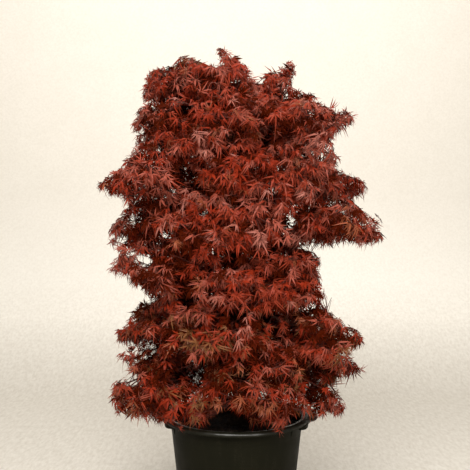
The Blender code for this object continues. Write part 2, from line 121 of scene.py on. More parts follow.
# Trunk, leaders and boughs, as in their solids
TRUNK_FOOT = Vector((0.006, 0.008, SOIL_TOP + GAP))
TRUNK_TIP = Vector((-0.030, -0.034, 1.150))
TRUNK_RADIUS = 0.0185
TRUNK_TIP_RADIUS = 0.0050
TRUNK_SWAY = 0.016
FLARE = ((0.0, 1.85), (0.010, 1.42), (0.028, 1.14), (0.055, 1.0))
LEADER_RADIUS = 0.0105
LEADER_TIP_RADIUS = 0.0045
LEADER_BARE = 0.030
LEADER_LESS = 0.008
LEADERS = (("top_left", 0.345), ("top_right", 0.385), ("top_back", 0.425))
BOUGH_RADIUS = 0.0068
BOUGH_TIP_RADIUS = 0.0036
BOUGH_RISE = 0.045
BOUGH_SLOPE = 0.30
BOUGH_LEAST = 0.045

# Relief of the bark: how close ridges and knots are, the collar of a limb and the roots of the trunk
RIDGE_RATE = (150, 150, 26)
KNOT_RATE = 55
COLLAR_SWELL = 0.45
COLLAR_FALL = 0.012
ROOT_COUNT = 5
ROOT_SWELL = 0.006
ROOT_FALL = 0.016
ROOT_DEPTH = 0.006

# Crown, as in its solids. The top masses: heart, the way each faces, and its half widths
TOPS = {
    "top_middle": ((-0.042, -0.070, 1.196), (0, -1), (0.140, 0.120, 0.098)),
    "top_left": ((-0.158, 0.010, 1.178), (-1, 0), (0.118, 0.160, 0.110)),
    "top_right": ((0.120, 0.010, 1.160), (1, 0), (0.125, 0.150, 0.100)),
    "top_back": ((-0.010, 0.135, 1.165), (0, 1), (0.130, 0.150, 0.100)),
}
# The tiers below: turn in degrees, then the height of the heart and the reach of each mass
TIERS = (
    (-12, ((1.078, 0.350), (1.055, 0.305), (1.092, 0.312), (1.048, 0.290))),
    (15, ((0.940, 0.402), (0.920, 0.325), (0.940, 0.412), (0.915, 0.310))),
    (-9, ((0.815, 0.432), (0.790, 0.335), (0.815, 0.382), (0.785, 0.320))),
    (12, ((0.690, 0.262), (0.660, 0.335), (0.692, 0.372), (0.655, 0.315))),
    (-14, ((0.538, 0.382), (0.528, 0.330), (0.540, 0.376), (0.532, 0.310))),
    (9, ((0.418, 0.362), (0.405, 0.320), (0.402, 0.374), (0.428, 0.290))),
)
SIDES = ("right", "back", "left", "front")
OUT_SHARE = 0.50
OUT_LESS = 0.020
HEART_CLEAR = 0.085
LEAST_INNER = 0.060
SIDE_SHARE = 0.90
SIDE_MORE = 0.085
TIER_UP = 0.110
TIER_DOWN = 0.105
LOW_DOWN = 0.130
TILT = 12
MASS_GAP = 0.004
LIMB_CLEAR = 0.003
RIM_PASS = (0.198, 0.297, 18)
GRIP_PASS = (0.236, 0.297, 30)
LEAF_COUNT = 16
LEAF_BACK = -0.50
GOLDEN_ANGLE = math.pi * (3 - math.sqrt(5))

# Finer growth: shoots go where the solids have their leaves, and settle into shelves
SHOOT_SHARE = 0.88
SHOOT_RADIUS = 0.0021
SHOOT_TIP_RADIUS = 0.0010
SHELF_STEP = 0.066
SHELF_PULL = 0.32
SHELF_WAVE = 0.030
TWIG_COUNT = 9
TWIG_FIRST = 0.16
TWIG_LENGTH = 0.074
TWIG_RADIUS = 0.00095
TWIG_TIP_RADIUS = 0.0006
NODE_STEP = 0.0126
SPRAY_COUNT = 74
SPRAY_SHARE = 0.90
INNER_STEP = 0.020
INNER_LENGTH = (0.05, 0.105)
LEAF_LENGTH = (0.0210, 0.0300)
INNER_COUNT = 80
LOW_INNER_COUNT = 112
LOW_MASS = 0.52
LOW_ZONE = 0.57
INNER_LEAF = (0.024, 0.035)
STALK_SHARE = (0.30, 0.62)
STALK_RADIUS = 0.00060

# How leaves and twigs stray
LEAF_SPLIT = (38, 72)
LEAF_HANG = (0.30, 1.35)
LEAF_STRAY = 0.45
LEAF_FORWARD = 0.25
FRONT_DEPTH = 0.08
SHOOT_STRAY = 0.0018
TWIG_SPREAD = (34, 66)
TWIG_SHRINK = (1.0, 0.75, 0.5, 0.3)

# Sprays at the crown's edge, single ones and bright ones at the front, whose lighter colours are painted
# light
EDGE_OVER = 0.0045
EDGE_STEP = 0.018
GAP_LESS = 0.004
LONE_LEAFY = 0.05
FRONT_START = -0.30
FRONT_STEP = 0.01
FRONT_STEPS = 30
FRONT_COLOURS = ("leaves_crimson", "leaves_brick", "leaves_brick", "leaves_rose")
LONE_COLOURS = ("leaves_deep_red", "leaves_crimson", "leaves_brick")
LONE_WIDTH = 1.5
LONE_LOW = 0.33
EDGE_DEPTHS = (-0.05, 0.01, 0.06)
EDGE_FAR = 1.60
EDGE_IN = (0.010, 0.025)
EDGE_BARE = 0.35
SPRAY_BARE = 0.45
RIM_CLEAR = (0.20, 0.30)
BOX_OVER = 0.012
RIM_RING = (0.160, 0.190)
LEAF_OVER_SOIL = 0.014
KEPT_POINTS = (0.2, 0.62, 0.8)
FULL_TWIG = 0.12

# Chances in the growth, and the seeds of its later steps
SKIP_CHANCE = 0.35
RECOLOUR_CHANCE = 0.38
END_LEAF_CHANCE = 0.7
SAME_COLOUR_CHANCE = 0.72
DARK_CHANCE = 0.66
INNER_LOWEST = 0.36
EDGE_SEED, INNER_SEED, LONE_SEED, FRONT_SEED = 107, 207, 307, 407

# The crown's edge as it is seen from the front, as places in the plane of the pot's middle
CROWN_EDGE = in_metres(
    (-36, 1262), (-56, 1282), (-50, 1302), (-32, 1288), (-18, 1274), (12, 1252), (45, 1226),
    (32, 1207), (64, 1186), (84, 1226), (117, 1223), (128, 1244), (160, 1250), (172, 1237),
    (150, 1206), (152, 1176), (236, 1162), (216, 1146), (240, 1128), (285, 1138), (323, 1124),
    (329, 1085), (299, 1080), (257, 1036), (274, 1012), (284, 975), (274, 956), (301, 948),
    (356, 926), (358, 896), (323, 884), (318, 868), (350, 854), (367, 826), (392, 832), (411, 808),
    (394, 785), (409, 764), (365, 755), (301, 763), (272, 747), (186, 756), (236, 706), (219, 686),
    (230, 668), (228, 650), (246, 634), (240, 612), (268, 610), (236, 585), (271, 560), (288, 534),
    (321, 527), (340, 510), (354, 486), (312, 450), (354, 403), (322, 392), (290, 395), (268, 375),
    (296, 334), (307, 290), (282, 274), (255, 293), (235, 274), (197, 296), (166, 290), (120, 230),
    (103, 246), (54, 252), (26, 287), (-54, 290), (-84, 276), (-104, 243), (-131, 260), (-150, 230),
    (-169, 256), (-202, 262), (-230, 266), (-252, 278), (-288, 276), (-334, 288), (-351, 330),
    (-346, 366), (-318, 386), (-290, 411), (-306, 431), (-334, 446), (-302, 480), (-334, 492),
    (-338, 508), (-290, 552), (-282, 590), (-238, 602), (-268, 638), (-299, 640), (-290, 680),
    (-325, 672), (-357, 682), (-322, 740), (-352, 750), (-350, 768), (-326, 768), (-338, 780),
    (-357, 788), (-304, 857), (-318, 888), (-330, 880), (-346, 884), (-351, 902), (-387, 909),
    (-343, 951), (-304, 964), (-296, 1011), (-274, 1036), (-291, 1074), (-277, 1116), (-257, 1130),
    (-257, 1180), (-244, 1231), (-183, 1237), (-142, 1275), (-84, 1240), (-44, 1238),
)
# Where the sky shows through: middle and half widths, in the same plane
SKY_GAPS = in_metres(
    (-54, 1228, 16, 10), (4, 1212, 12, 14), (-10, 1200, 13, 16), (30, 1190, 16, 10),
    (73, 1194, 12, 10), (138, 1164, 17, 14), (169, 1158, 13, 12), (209, 1150, 13, 10),
    (204, 1118, 16, 11), (283, 1122, 18, 12), (-266, 1061, 13, 12), (-260, 1041, 11, 11),
    (257, 1020, 12, 12), (239, 992, 14, 14), (149, 820, 19, 12), (-286, 822, 18, 18),
    (-318, 768, 17, 19), (238, 588, 13, 11), (350, 808, 13, 12), (183, 748, 13, 11),
    (-196, 784, 18, 18), (277, 769, 11, 10), (-294, 730, 16, 14), (-260, 710, 30, 23),
    (137, 728, 13, 11), (208, 745, 26, 12), (-246, 689, 11, 11), (-236, 599, 14, 16),
    (206, 584, 10, 13), (192, 577, 16, 10), (-280, 546, 15, 14), (-307, 527, 10, 10),
    (227, 525, 14, 11), (65, 514, 10, 14), (309, 509, 18, 15), (18, 494, 11, 11),
    (-300, 457, 10, 12), (-87, 465, 12, 13), (299, 449, 14, 11), (-282, 428, 11, 11),
    (-288, 384, 28, 23), (269, 364, 13, 13),
)
# Tips of single sprays: over the rim and the left grip, and out at the corners of the crown
LONE_SPRAYS = in_metres(
    (-236, -105, 306), (-218, -128, 312), (-206, -140, 304), (-190, -150, 310), (-172, -158, 304),
    (-146, -178, 298), (-138, -186, 306), (-160, -165, 318), (66, -212, 312), (92, -214, 298),
    (104, -208, 304), (118, -200, 312), (190, -160, 322), (246, -90, 314), (262, -70, 306),
    (278, -60, 316), (232, -110, 322), (135, 0, 1222), (166, 0, 1248), (150, 20, 1250),
    (-45, -30, 1276), (-30, -20, 1262), (-360, 0, 910), (-345, -30, 918), (-366, 20, 906),
    (-334, 0, 776), (-338, -30, 790), (-328, 0, 758), (-335, 0, 690), (-342, -30, 684),
    (-322, 0, 700), (-328, -30, 306), (-324, 0, 300), (-334, 0, 325), (-262, -50, 486),
    (-254, -30, 470), (-310, 0, 488), (-316, -20, 440), (325, 0, 500), (334, -20, 490),
    (345, 0, 508), (328, 0, 404), (338, -20, 402), (372, 0, 818), (384, 0, 804), (370, 0, 776),
    (386, 0, 772), (350, 0, 774), (300, 0, 1116), (306, 0, 1096), (270, 0, 1074), (260, -20, 1064),
    (334, 0, 928), (338, 0, 910), (262, 0, 608), (147, 0, 1204), (222, 0, 1158), (205, 0, 1166),
    (296, 0, 1124), (312, 0, 1118), (-345, 0, 690), (-338, 0, 705), (-350, 0, 676), (-350, 0, 795),
    (352, 0, 925),
)
# Where bright sprays stand out at the front, in the same plane; their lighter colours are painted light
FRONT_SPRAYS = in_metres(
    (175, 1068), (192, 1054), (183, 1034), (214, 1024), (204, 1004), (234, 990), (224, 972),
    (250, 968), (170, 1046), (200, 1036), (218, 1000), (240, 962), (105, 804), (124, 794),
    (166, 780), (152, 768), (186, 794), (132, 776), (-60, 796), (-45, 788), (66, 786), (-102, 624),
    (-82, 608), (-62, 614), (-46, 604), (-200, 890), (-172, 892), (-132, 894), (-92, 888),
    (-52, 884), (-12, 882), (-184, 1226), (-166, 1204), (228, 1044), (246, 1022), (256, 1004),
    (262, 990), (200, 906), (212, 896), (205, 884), (72, 766), (68, 744), (-195, 676), (-180, 666),
    (-85, 1020), (-70, 1012), (-165, 1012), (-60, 1238), (-50, 1226), (-172, 1192), (45, 1200),
    (62, 1197), (138, 982), (132, 500), (60, 365), (50, 358), (300, 425), (30, 520), (45, 508),
)
# Dark hollows between the shelves at the front, in the same plane
HOLLOWS = in_metres(
    (-130, 406, 52, 30), (-98, 382, 36, 24), (91, 548, 44, 20), (112, 528, 18, 24),
    (-30, 566, 52, 16), (4, 548, 22, 20), (92, 1062, 22, 30), (78, 1044, 20, 18),
    (-10, 732, 52, 14), (26, 724, 18, 14), (-236, 462, 18, 32), (-148, 1128, 32, 14),
    (-12, 1044, 28, 22), (103, 896, 30, 21), (263, 870, 24, 26), (210, 380, 24, 30),
    (6, 394, 40, 18), (114, 379, 26, 12), (-221, 757, 25, 17), (-84, 684, 34, 10),
    (-50, 1140, 16, 12), (-218, 546, 14, 13), (-120, 546, 18, 9), (-186, 731, 13, 11),
    (-150, 460, 26, 20), (-75, 940, 12, 9), (-144, 949, 22, 14), (-146, 807, 13, 9),
    (80, 302, 12, 9), (-178, 904, 14, 7), (-126, 1038, 10, 8), (-208, 1018, 17, 22),
    (155, 530, 22, 24), (-32, 330, 36, 14), (70, 345, 30, 14), (-64, 736, 28, 18),
    (26, 567, 28, 18), (-104, 440, 26, 16), (-50, 1176, 22, 12), (-45, 1105, 20, 12),
    (-98, 1134, 22, 12), (-200, 1158, 20, 10), (98, 914, 20, 14), (-34, 304, 30, 14),
    (132, 384, 22, 18), (-172, 370, 22, 14), (-96, 836, 20, 12), (-58, 938, 26, 10),
    (-94, 666, 18, 10), (100, 708, 22, 10),
)
# How close groups of leaves are round, out from and up the trunk, and how open it is between them
CLUMP_RATE = (11.0, 12.0, 46.0)
CLUMP_LEAST = -0.20
# Where leaves turn bronze: middle and radius
BRONZE_PLACES = in_metres(
    (-95, 515, 85), (250, 480, 70), (-140, 350, 70), (-130, 1240, 50)
)
BRONZE_CHANCE = 0.22
LOW_CHANCE = 0.24
# Where the foot of the crown is in shade: its top, how fast it deepens, and where it is weaker
SHADE_TOP = 0.62
SHADE_FADE = 0.22
SHADE_LEFT = -0.2
SHADE_SHARE = 0.62

# Plain colours that are dealt out by spray: base colour, roughness, shine, share at the front and inside.
# The darker kinds take the inside and the lighter ones the front, as painted shade and painted light.
LEAF_COLOURS = {
    "leaves_deep_red": ((0.208, 0.0195, 0.0062), 0.42, 0.08, 0.33, 0.26),
    "leaves_crimson": ((0.248, 0.0335, 0.0148), 0.42, 0.11, 0.32, 0.10),
    "leaves_brick": ((0.270, 0.0580, 0.0355), 0.42, 0.14, 0.20, 0.03),
    "leaves_rose": ((0.300, 0.0930, 0.0660), 0.42, 0.18, 0.05, 0.01),
    "leaves_rust": ((0.228, 0.0560, 0.0215), 0.42, 0.20, 0.07, 0.04),
    "leaves_bronze": ((0.165, 0.0600, 0.0205), 0.42, 0.16, 0.0, 0.0),
    "leaves_dark": ((0.048, 0.0052, 0.0009), 0.60, 0.01, 0.03, 0.53),
}


def seen(point):
    """Where a point shows, as a place in the upright plane through the pot's middle."""
    x, y, z = CAMERA_PLACE
    share = -y / (point[1] - y)
    return x + (point[0] - x) * share, z + (point[2] - z) * share


def at_depth(flat_x, flat_z, y):
    """The point at a depth that shows at a place of that plane."""
    camera = Vector(CAMERA_PLACE)
    share = (y - camera.y) / -camera.y
    return Vector((camera.x + (flat_x - camera.x) * share, y, camera.z + (flat_z - camera.z) * share))


def within_edge(flat_x, flat_z):
    """Which of the places, given as arrays, are inside the crown's edge."""
    inside = np.zeros(np.shape(flat_x), bool)
    for (x0, z0), (x1, z1) in zip(CROWN_EDGE, CROWN_EDGE[1:] + CROWN_EDGE[:1]):
        spans = (z0 > flat_z) != (z1 > flat_z)
        crossing = x0 + (flat_z - z0) * (x1 - x0) / (z1 - z0 + 1e-12)
        inside ^= spans & (flat_x < crossing)
    return inside


def within_any(spots, flat_x, flat_z, more=0.0):
    """Which of the places are inside one of the ellipses."""
    inside = np.zeros(np.shape(flat_x), bool)
    for x, z, wide, high in spots:
        inside |= ((flat_x - x) / (wide + more)) ** 2 + ((flat_z - z) / (high + more)) ** 2 < 1
    return inside


# Materials


def new_group(name, inputs, outputs):
    """An empty shader node group with named inputs, as (name, kind, value), and outputs."""
    tree = bpy.data.node_groups.new(name, "ShaderNodeTree")
    for label, kind, value in inputs:
        socket = tree.interface.new_socket(label, in_out="INPUT", socket_type=kind)
        socket.default_value = value
    for label, kind in outputs:
        tree.interface.new_socket(label, in_out="OUTPUT", socket_type=kind)
    return tree, tree.nodes.new("NodeGroupInput"), tree.nodes.new("NodeGroupOutput")


def noise_node(tree, vector, scale, detail=4.0, roughness=0.6):
    made = tree.nodes.new("ShaderNodeTexNoise")
    made.inputs["Detail"].default_value = detail
    made.inputs["Roughness"].default_value = roughness
    tree.links.new(vector, made.inputs["Vector"])
    if isinstance(scale, (int, float)):
        made.inputs["Scale"].default_value = scale
    else:
        tree.links.new(scale, made.inputs["Scale"])
    return made.outputs["Fac"]


def math_node(tree, operation, first, second=None):
    made = tree.nodes.new("ShaderNodeMath")
    made.operation = operation
    for socket, value in zip(made.inputs, (first, second)):
        if isinstance(value, (int, float)):
            socket.default_value = value
        elif value is not None:
            tree.links.new(value, socket)
    return made.outputs[0]


def range_node(tree, value, low, high, to_low=0.0, to_high=1.0):
    made = tree.nodes.new("ShaderNodeMapRange")
    tree.links.new(value, made.inputs["Value"])
    made.inputs["From Min"].default_value = low
    made.inputs["From Max"].default_value = high
    made.inputs["To Min"].default_value = to_low
    made.inputs["To Max"].default_value = to_high
    return made.outputs["Result"]


def mix_node(tree, share, first, second):
    made = tree.nodes.new("ShaderNodeMix")
    made.data_type = "RGBA"
    tree.links.new(share, made.inputs["Factor"])
    for label, colour in (("A", first), ("B", second)):
        socket = next(s for s in made.inputs if s.name == label and s.type == "RGBA")
        if isinstance(colour, tuple):
            socket.default_value = (*colour, 1)
        else:
            tree.links.new(colour, socket)
    return next(s for s in made.outputs if s.type == "RGBA")


def mottle_group():
    """Two colours mixed by a soft noise, and the noise as a height."""
    colour = (0.5, 0.5, 0.5, 1)
    tree, given, result = new_group(
        "Mottle",
        (
            ("Vector", "NodeSocketVector", (0, 0, 0)),
            ("Scale", "NodeSocketFloat", 40.0),
            ("Colour", "NodeSocketColor", colour),
            ("Other Colour", "NodeSocketColor", colour),
        ),
        (("Colour", "NodeSocketColor"), ("Height", "NodeSocketFloat")),
    )
    soft = noise_node(tree, given.outputs["Vector"], given.outputs["Scale"], 3.0)
    share = range_node(tree, soft, 0.36, 0.64)
    mixed = mix_node(tree, share, given.outputs["Colour"], given.outputs["Other Colour"])
    tree.links.new(mixed, result.inputs["Colour"])
    tree.links.new(soft, result.inputs["Height"])


FINISHES = {}


def start_material(name, roughness, shine=0.5, colour=(0.5, 0.5, 0.5)):
    made = FINISHES[name] = bpy.data.materials.new(name)
    made.use_nodes = True
    made.diffuse_color = (*colour, 1)
    tree = made.node_tree
    shader = tree.nodes["Principled BSDF"]
    shader.inputs["Base Color"].default_value = (*colour, 1)
    shader.inputs["Roughness"].default_value = roughness
    shader.inputs["Specular IOR Level"].default_value = shine
    place = tree.nodes.new("ShaderNodeTexCoord").outputs["Object"]
    return tree, shader, place


def stretched_place(tree, place, scale):
    made = tree.nodes.new("ShaderNodeMapping")
    made.inputs["Scale"].default_value = scale
    tree.links.new(place, made.inputs["Vector"])
    return made.outputs["Vector"]


def add_mottle(tree, place, scale, first, second):
    made = tree.nodes.new("ShaderNodeGroup")
    made.node_tree = bpy.data.node_groups["Mottle"]
    made.inputs["Scale"].default_value = scale
    made.inputs["Colour"].default_value = (*first, 1)
    made.inputs["Other Colour"].default_value = (*second, 1)
    tree.links.new(place, made.inputs["Vector"])
    return made.outputs["Colour"], made.outputs["Height"]


def add_bump(tree, shader, height, strength, distance):
    made = tree.nodes.new("ShaderNodeBump")
    made.inputs["Strength"].default_value = strength
    made.inputs["Distance"].default_value = distance
    tree.links.new(height, made.inputs["Height"])
    tree.links.new(made.outputs["Normal"], shader.inputs["Normal"])


def pot_material():
    """Dull black plastic with dried dust, and a glossier coat on the lip and the grips."""
    tree, shader, place = start_material("moulded_plastic", 0.50, 0.03)
    shader.inputs["Coat Roughness"].default_value = 0.30
    black, worn_black = (0.0085, 0.0082, 0.0047), (0.0100, 0.0094, 0.0054)
    colour, _ = add_mottle(tree, stretched_place(tree, place, (1, 1, 0.35)), 16, black, worn_black)
    runs = noise_node(tree, stretched_place(tree, place, (60, 60, 4)), 1.0, 5.0)
    specks = noise_node(tree, place, 420, 2.0)
    in_runs, in_specks = range_node(tree, runs, 0.50, 0.72), range_node(tree, specks, 0.50, 0.66)
    dust = math_node(tree, "MULTIPLY", in_runs, in_specks)
    dusty = mix_node(tree, math_node(tree, "MULTIPLY", dust, 0.34), colour, (0.060, 0.052, 0.038))
    tree.links.new(dusty, shader.inputs["Base Color"])
    cloud = noise_node(tree, place, 22, 5.0)
    tree.links.new(range_node(tree, cloud, 0.3, 0.7, 0.40, 0.58), shader.inputs["Roughness"])
    parts = tree.nodes.new("ShaderNodeSeparateXYZ")
    tree.links.new(place, parts.inputs["Vector"])
    low = POT_HEIGHT - LIP_HEIGHT
    rubbed = range_node(tree, parts.outputs["Z"], low + 0.002, low + 0.007, 0.0, 1.0)
    wear_and_floor_shade = range_node(tree, noise_node(tree, place, 60, 4.0), 0.3, 0.6, 0.45, 1.0)
    tree.links.new(math_node(tree, "MULTIPLY", rubbed, wear_and_floor_shade), shader.inputs["Coat Weight"])
    add_bump(tree, shader, noise_node(tree, place, 900, 2.0), 0.18, 0.0004)


def bark_material():
    tree, shader, place = start_material("ridged_bark", 0.82, 0.06)
    long_place = stretched_place(tree, place, (1, 1, 0.22))
    colour, _ = add_mottle(tree, place, 24, (0.050, 0.031, 0.020), (0.024, 0.015, 0.010))
    furrow = noise_node(tree, long_place, 190, 6.0, 0.68)
    cracks = range_node(tree, furrow, 0.36, 0.56)
    cracked = mix_node(tree, cracks, (0.014, 0.009, 0.006), colour)
    pale = noise_node(tree, stretched_place(tree, place, (0.6, 0.6, 2.4)), 130, 3.0)
    spotted = mix_node(tree, range_node(tree, pale, 0.62, 0.72, 0.0, 0.7), cracked, (0.095, 0.070, 0.050))
    tree.links.new(spotted, shader.inputs["Base Color"])
    tree.links.new(range_node(tree, furrow, 0.3, 0.7, 0.92, 0.70), shader.inputs["Roughness"])
    add_bump(tree, shader, furrow, 0.8, 0.0022)


def young_wood_material(name, first, second):
    tree, shader, place = start_material(name, 0.65, 0.10)
    colour, height = add_mottle(tree, place, 90, first, second)
    tree.links.new(colour, shader.inputs["Base Color"])
    add_bump(tree, shader, height, 0.25, 0.0006)


def compost_material(name, first, second):
    tree, shader, place = start_material(name, 0.93)
    colour, _ = add_mottle(tree, place, 75, first, second)
    fine = noise_node(tree, place, 520, 6.0, 0.7)
    dark = mix_node(tree, range_node(tree, fine, 0.34, 0.6), (0.006, 0.004, 0.003), colour)
    tree.links.new(dark, shader.inputs["Base Color"])
    add_bump(tree, shader, fine, 0.9, 0.003)


def leaf_material(name, colour, roughness, shine):
    """The plain colour of its spray, with a faint mottle and the fine relief of the veins."""
    tree, shader, place = start_material(name, roughness, shine, colour)
    lighter = tuple(min(1.0, channel * 1.16) for channel in colour)
    deeper = tuple(channel * 0.84 for channel in colour)
    mottled, _ = add_mottle(tree, place, 55, deeper, lighter)
    tree.links.new(mottled, shader.inputs["Base Color"])
    add_bump(tree, shader, noise_node(tree, place, 620, 2.0), 0.22, 0.0005)


def sweep_material():
    """Pale cloth with a fine uneven weave, coarser towards the floor; painted light makes it paler below
    half a metre, and painted shade greys it down to the floor.
    """
    tree, shader, place = start_material("studio_cloth", 0.95, 0.05)
    parts = tree.nodes.new("ShaderNodeSeparateXYZ")
    tree.links.new(place, parts.inputs["Vector"])
    rise = parts.outputs["Z"]
    cloud, _ = add_mottle(tree, place, 5, (0.818, 0.780, 0.715), (0.838, 0.800, 0.738))
    weave = noise_node(tree, stretched_place(tree, place, (1, 0.3, 1)), 74, 5.0, 0.75)
    threads = range_node(tree, weave, 0.34, 0.62, 0.27, 0.0)
    thin = math_node(tree, "MULTIPLY", threads, range_node(tree, rise, 0.0, 0.5, 2.6, 1.1))
    # Painted light: a paler cloth colour below half a metre lifts the lower wall.
    pale = mix_node(tree, range_node(tree, rise, 1.0, 0.5), cloud, (0.895, 0.862, 0.800))
    woven = mix_node(tree, thin, pale, (0.62, 0.57, 0.50))
    # Painted shade: the cloth greys over its lowest 0.3 m, down to the floor.
    wear_and_floor_shade = mix_node(tree, range_node(tree, rise, 0.0, 0.30, 0.40, 0.0), woven, (0.36, 0.335, 0.30))
    tree.links.new(wear_and_floor_shade, shader.inputs["Base Color"])


def make_materials():
    mottle_group()
    pot_material()
    bark_material()
    young_wood_material("shoot_wood", (0.085, 0.040, 0.028), (0.045, 0.020, 0.016))
    young_wood_material("twig_wood", (0.120, 0.028, 0.020), (0.060, 0.016, 0.012))
    young_wood_material("leaf_stalk", (0.210, 0.040, 0.026), (0.130, 0.022, 0.016))
    compost_material("damp_compost", (0.040, 0.024, 0.016), (0.018, 0.011, 0.008))
    compost_material("bark_chip", (0.085, 0.046, 0.028), (0.036, 0.020, 0.013))
    for name, (colour, roughness, shine, _, _) in LEAF_COLOURS.items():
        leaf_material(name, colour, roughness, shine)
    sweep_material()


# Small helpers


def new_object(name, data):
    made = bpy.data.objects.new(name, data)
    bpy.context.scene.collection.objects.link(made)
    return made


def evaluated_mesh(holder):
    """The mesh that an object's modifiers or curves come to, and the object goes."""
    bpy.context.view_layer.update()
    graph = bpy.context.evaluated_depsgraph_get()
    mesh = bpy.data.meshes.new_from_object(holder.evaluated_get(graph))
    bpy.data.objects.remove(holder)
    return mesh


def add_piece(name, mesh, finish, slot=None, stands_for=(), smooth=True):
    """A finished piece at the origin, which rides on the plant's one body when it is given a slot."""
    made = new_object(name, mesh)
    made.data.materials.clear()
    made.data.materials.append(FINISHES[finish])
    if smooth:
        mesh.shade_smooth()
    if slot:
        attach(made, "root")
        if stands_for:
            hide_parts(*stands_for)
    return made


def mesh_from(bm, name):
    mesh = bpy.data.meshes.new(name)
    bmesh.ops.recalc_face_normals(bm, faces=bm.faces)
    bm.to_mesh(mesh)
    bm.free()
    return mesh


def corners_and_faces(mesh):
    """A mesh's corners and triangles as arrays."""
    mesh.calc_loop_triangles()
    corners = np.empty(len(mesh.vertices) * 3, np.float32)
    mesh.vertices.foreach_get("co", corners)
    faces = np.empty(len(mesh.loop_triangles) * 3, np.int32)
    mesh.loop_triangles.foreach_get("vertices", faces)
    return corners.reshape(-1, 3), faces.reshape(-1, 3)


def copies_mesh(name, shapes, picks, turns, places):
    """One mesh of many copies: which shape each is, its turn and size as 3 x 3 arrays, and its place."""
    all_corners, all_faces, start = [], [], 0
    for number, (corners, faces) in enumerate(shapes):
        chosen = picks == number
        count = int(chosen.sum())
        if not count:
            continue
        placed = np.einsum("nij,vj->nvi", turns[chosen], corners) + places[chosen][:, None, :]
        offsets = start + np.arange(count)[:, None, None] * len(corners)
        all_corners.append(placed.reshape(-1, 3))
        all_faces.append((faces[None, :, :] + offsets).reshape(-1, 3))
        start += count * len(corners)
    mesh = bpy.data.meshes.new(name)
    mesh.from_pydata(np.concatenate(all_corners), [], np.concatenate(all_faces))
    mesh.update()
    return mesh


# Pot


def wall_radius(height):
    """The pot's outside radius at a height."""
    return POT_BASE_RADIUS + (POT_TOP_RADIUS - POT_BASE_RADIUS) * height / POT_HEIGHT


def spun(bm, profile, steps, angle=math.tau, first_turn=0.0):
    """Turns a line of (radius, height) points about Z."""
    start = Matrix.Rotation(first_turn, 3, "Z")
    verts = [bm.verts.new(start @ Vector((radius, 0, height))) for radius, height in profile]
    edges = [bm.edges.new(pair) for pair in zip(verts, verts[1:])]
    full = abs(angle - math.tau) < 1e-6
    bmesh.ops.spin(
        bm, geom=verts + edges, cent=(0, 0, 0), axis=(0, 0, 1), steps=steps, angle=angle, use_merge=full
    )
    bmesh.ops.remove_doubles(bm, verts=bm.verts, dist=1e-6)


def arc(middle, radius, first, last, steps):
    """Points on a round corner, by angle in degrees."""
    points = []
    for i in range(steps + 1):
        turn = math.radians(first + (last - first) * i / steps)
        points.append((middle[0] + radius * math.cos(turn), middle[1] + radius * math.sin(turn)))
    return points


def pot_profile():
    """Round the wall from the middle of the underside to the middle of the floor."""
    lip = POT_TOP_RADIUS + LIP_OUT
    low = POT_HEIGHT - LIP_HEIGHT
    points = [(0, 0), (POT_BASE_RADIUS - 0.003, 0)]
    points += arc((POT_BASE_RADIUS - 0.003, 0.003), 0.003, -70, 0, 4)
    for height in (0.02, 0.06, 0.10, 0.14, 0.18, 0.22, SHOULDER_HEIGHT - 0.004):
        points.append((wall_radius(height), height))
    points.append((wall_radius(SHOULDER_HEIGHT - 0.001), SHOULDER_HEIGHT - 0.001))
    points.append((wall_radius(SHOULDER_HEIGHT) + SHOULDER_OUT, SHOULDER_HEIGHT + 0.001))
    points.append((wall_radius(low) + SHOULDER_OUT - 0.0008, low - 0.001))
    points.append((wall_radius(low) + 0.0020, low + 0.0016))
    points += [(lip - 0.0046, low + 0.0022), (lip - 0.0040, low + 0.0003)]
    points += arc((lip - 0.0030, low + 0.0030), 0.0030, -90, 0, 5)
    points += arc((lip - 0.0092, POT_HEIGHT - 0.0092), 0.0092, 0, 90, 12)
    inner = POT_TOP_RADIUS - POT_WALL
    points += [(lip - 0.0108, POT_HEIGHT - 0.0003), (lip - 0.0122, POT_HEIGHT - 0.0010)]
    points += arc((inner + 0.0030, POT_HEIGHT - 0.0044), 0.0030, 90, 180, 5)
    points.append((inner - 0.0004, POT_HEIGHT - 0.012))
    points.append((wall_radius(0.20) - POT_WALL, 0.20))
    points.append((wall_radius(0.10) - POT_WALL, 0.10))
    points.append((wall_radius(POT_FLOOR) - POT_WALL, POT_FLOOR))
    points.append((0, POT_FLOOR))
    return points


def between(before, start, end, after, t):
    """The place at a share t of the smooth way from start to end, which the points around them bend."""
    leave, arrive = (end - before) / 2, (after - start) / 2
    place = start * (2 * t**3 - 3 * t * t + 1) + leave * (t**3 - 2 * t * t + t)
    return place + (end * (3 * t * t - 2 * t**3) + arrive * (t**3 - t * t))


def fours(points):
    """Each two points in turn with the points before and after them, carried on past both ends."""
    line = [Vector(point) for point in points]
    line = [line[0] * 2 - line[1]] + line + [line[-1] * 2 - line[-2]]
    return zip(line, line[1:], line[2:], line[3:])


def smooth_line(points, steps):
    """A smooth line through points of (radius, height), with so many steps between each two."""
    made = [tuple(between(*four, i / steps)) for four in fours(points) for i in range(steps)]
    return made + [tuple(points[-1])]


def swept(section, turn, sweep, steps):
    """A closed section turned about Z through an angle, with its middle at a turn in degrees."""
    bm = bmesh.new()
    start = Matrix.Rotation(math.radians(turn - sweep / 2), 3, "Z")
    face = bm.faces.new([bm.verts.new(start @ Vector((x, 0, z))) for x, z in section])
    bmesh.ops.spin(bm, geom=[face], cent=(0, 0, 0), axis=(0, 0, 1), steps=steps, angle=math.radians(sweep))
    return bm


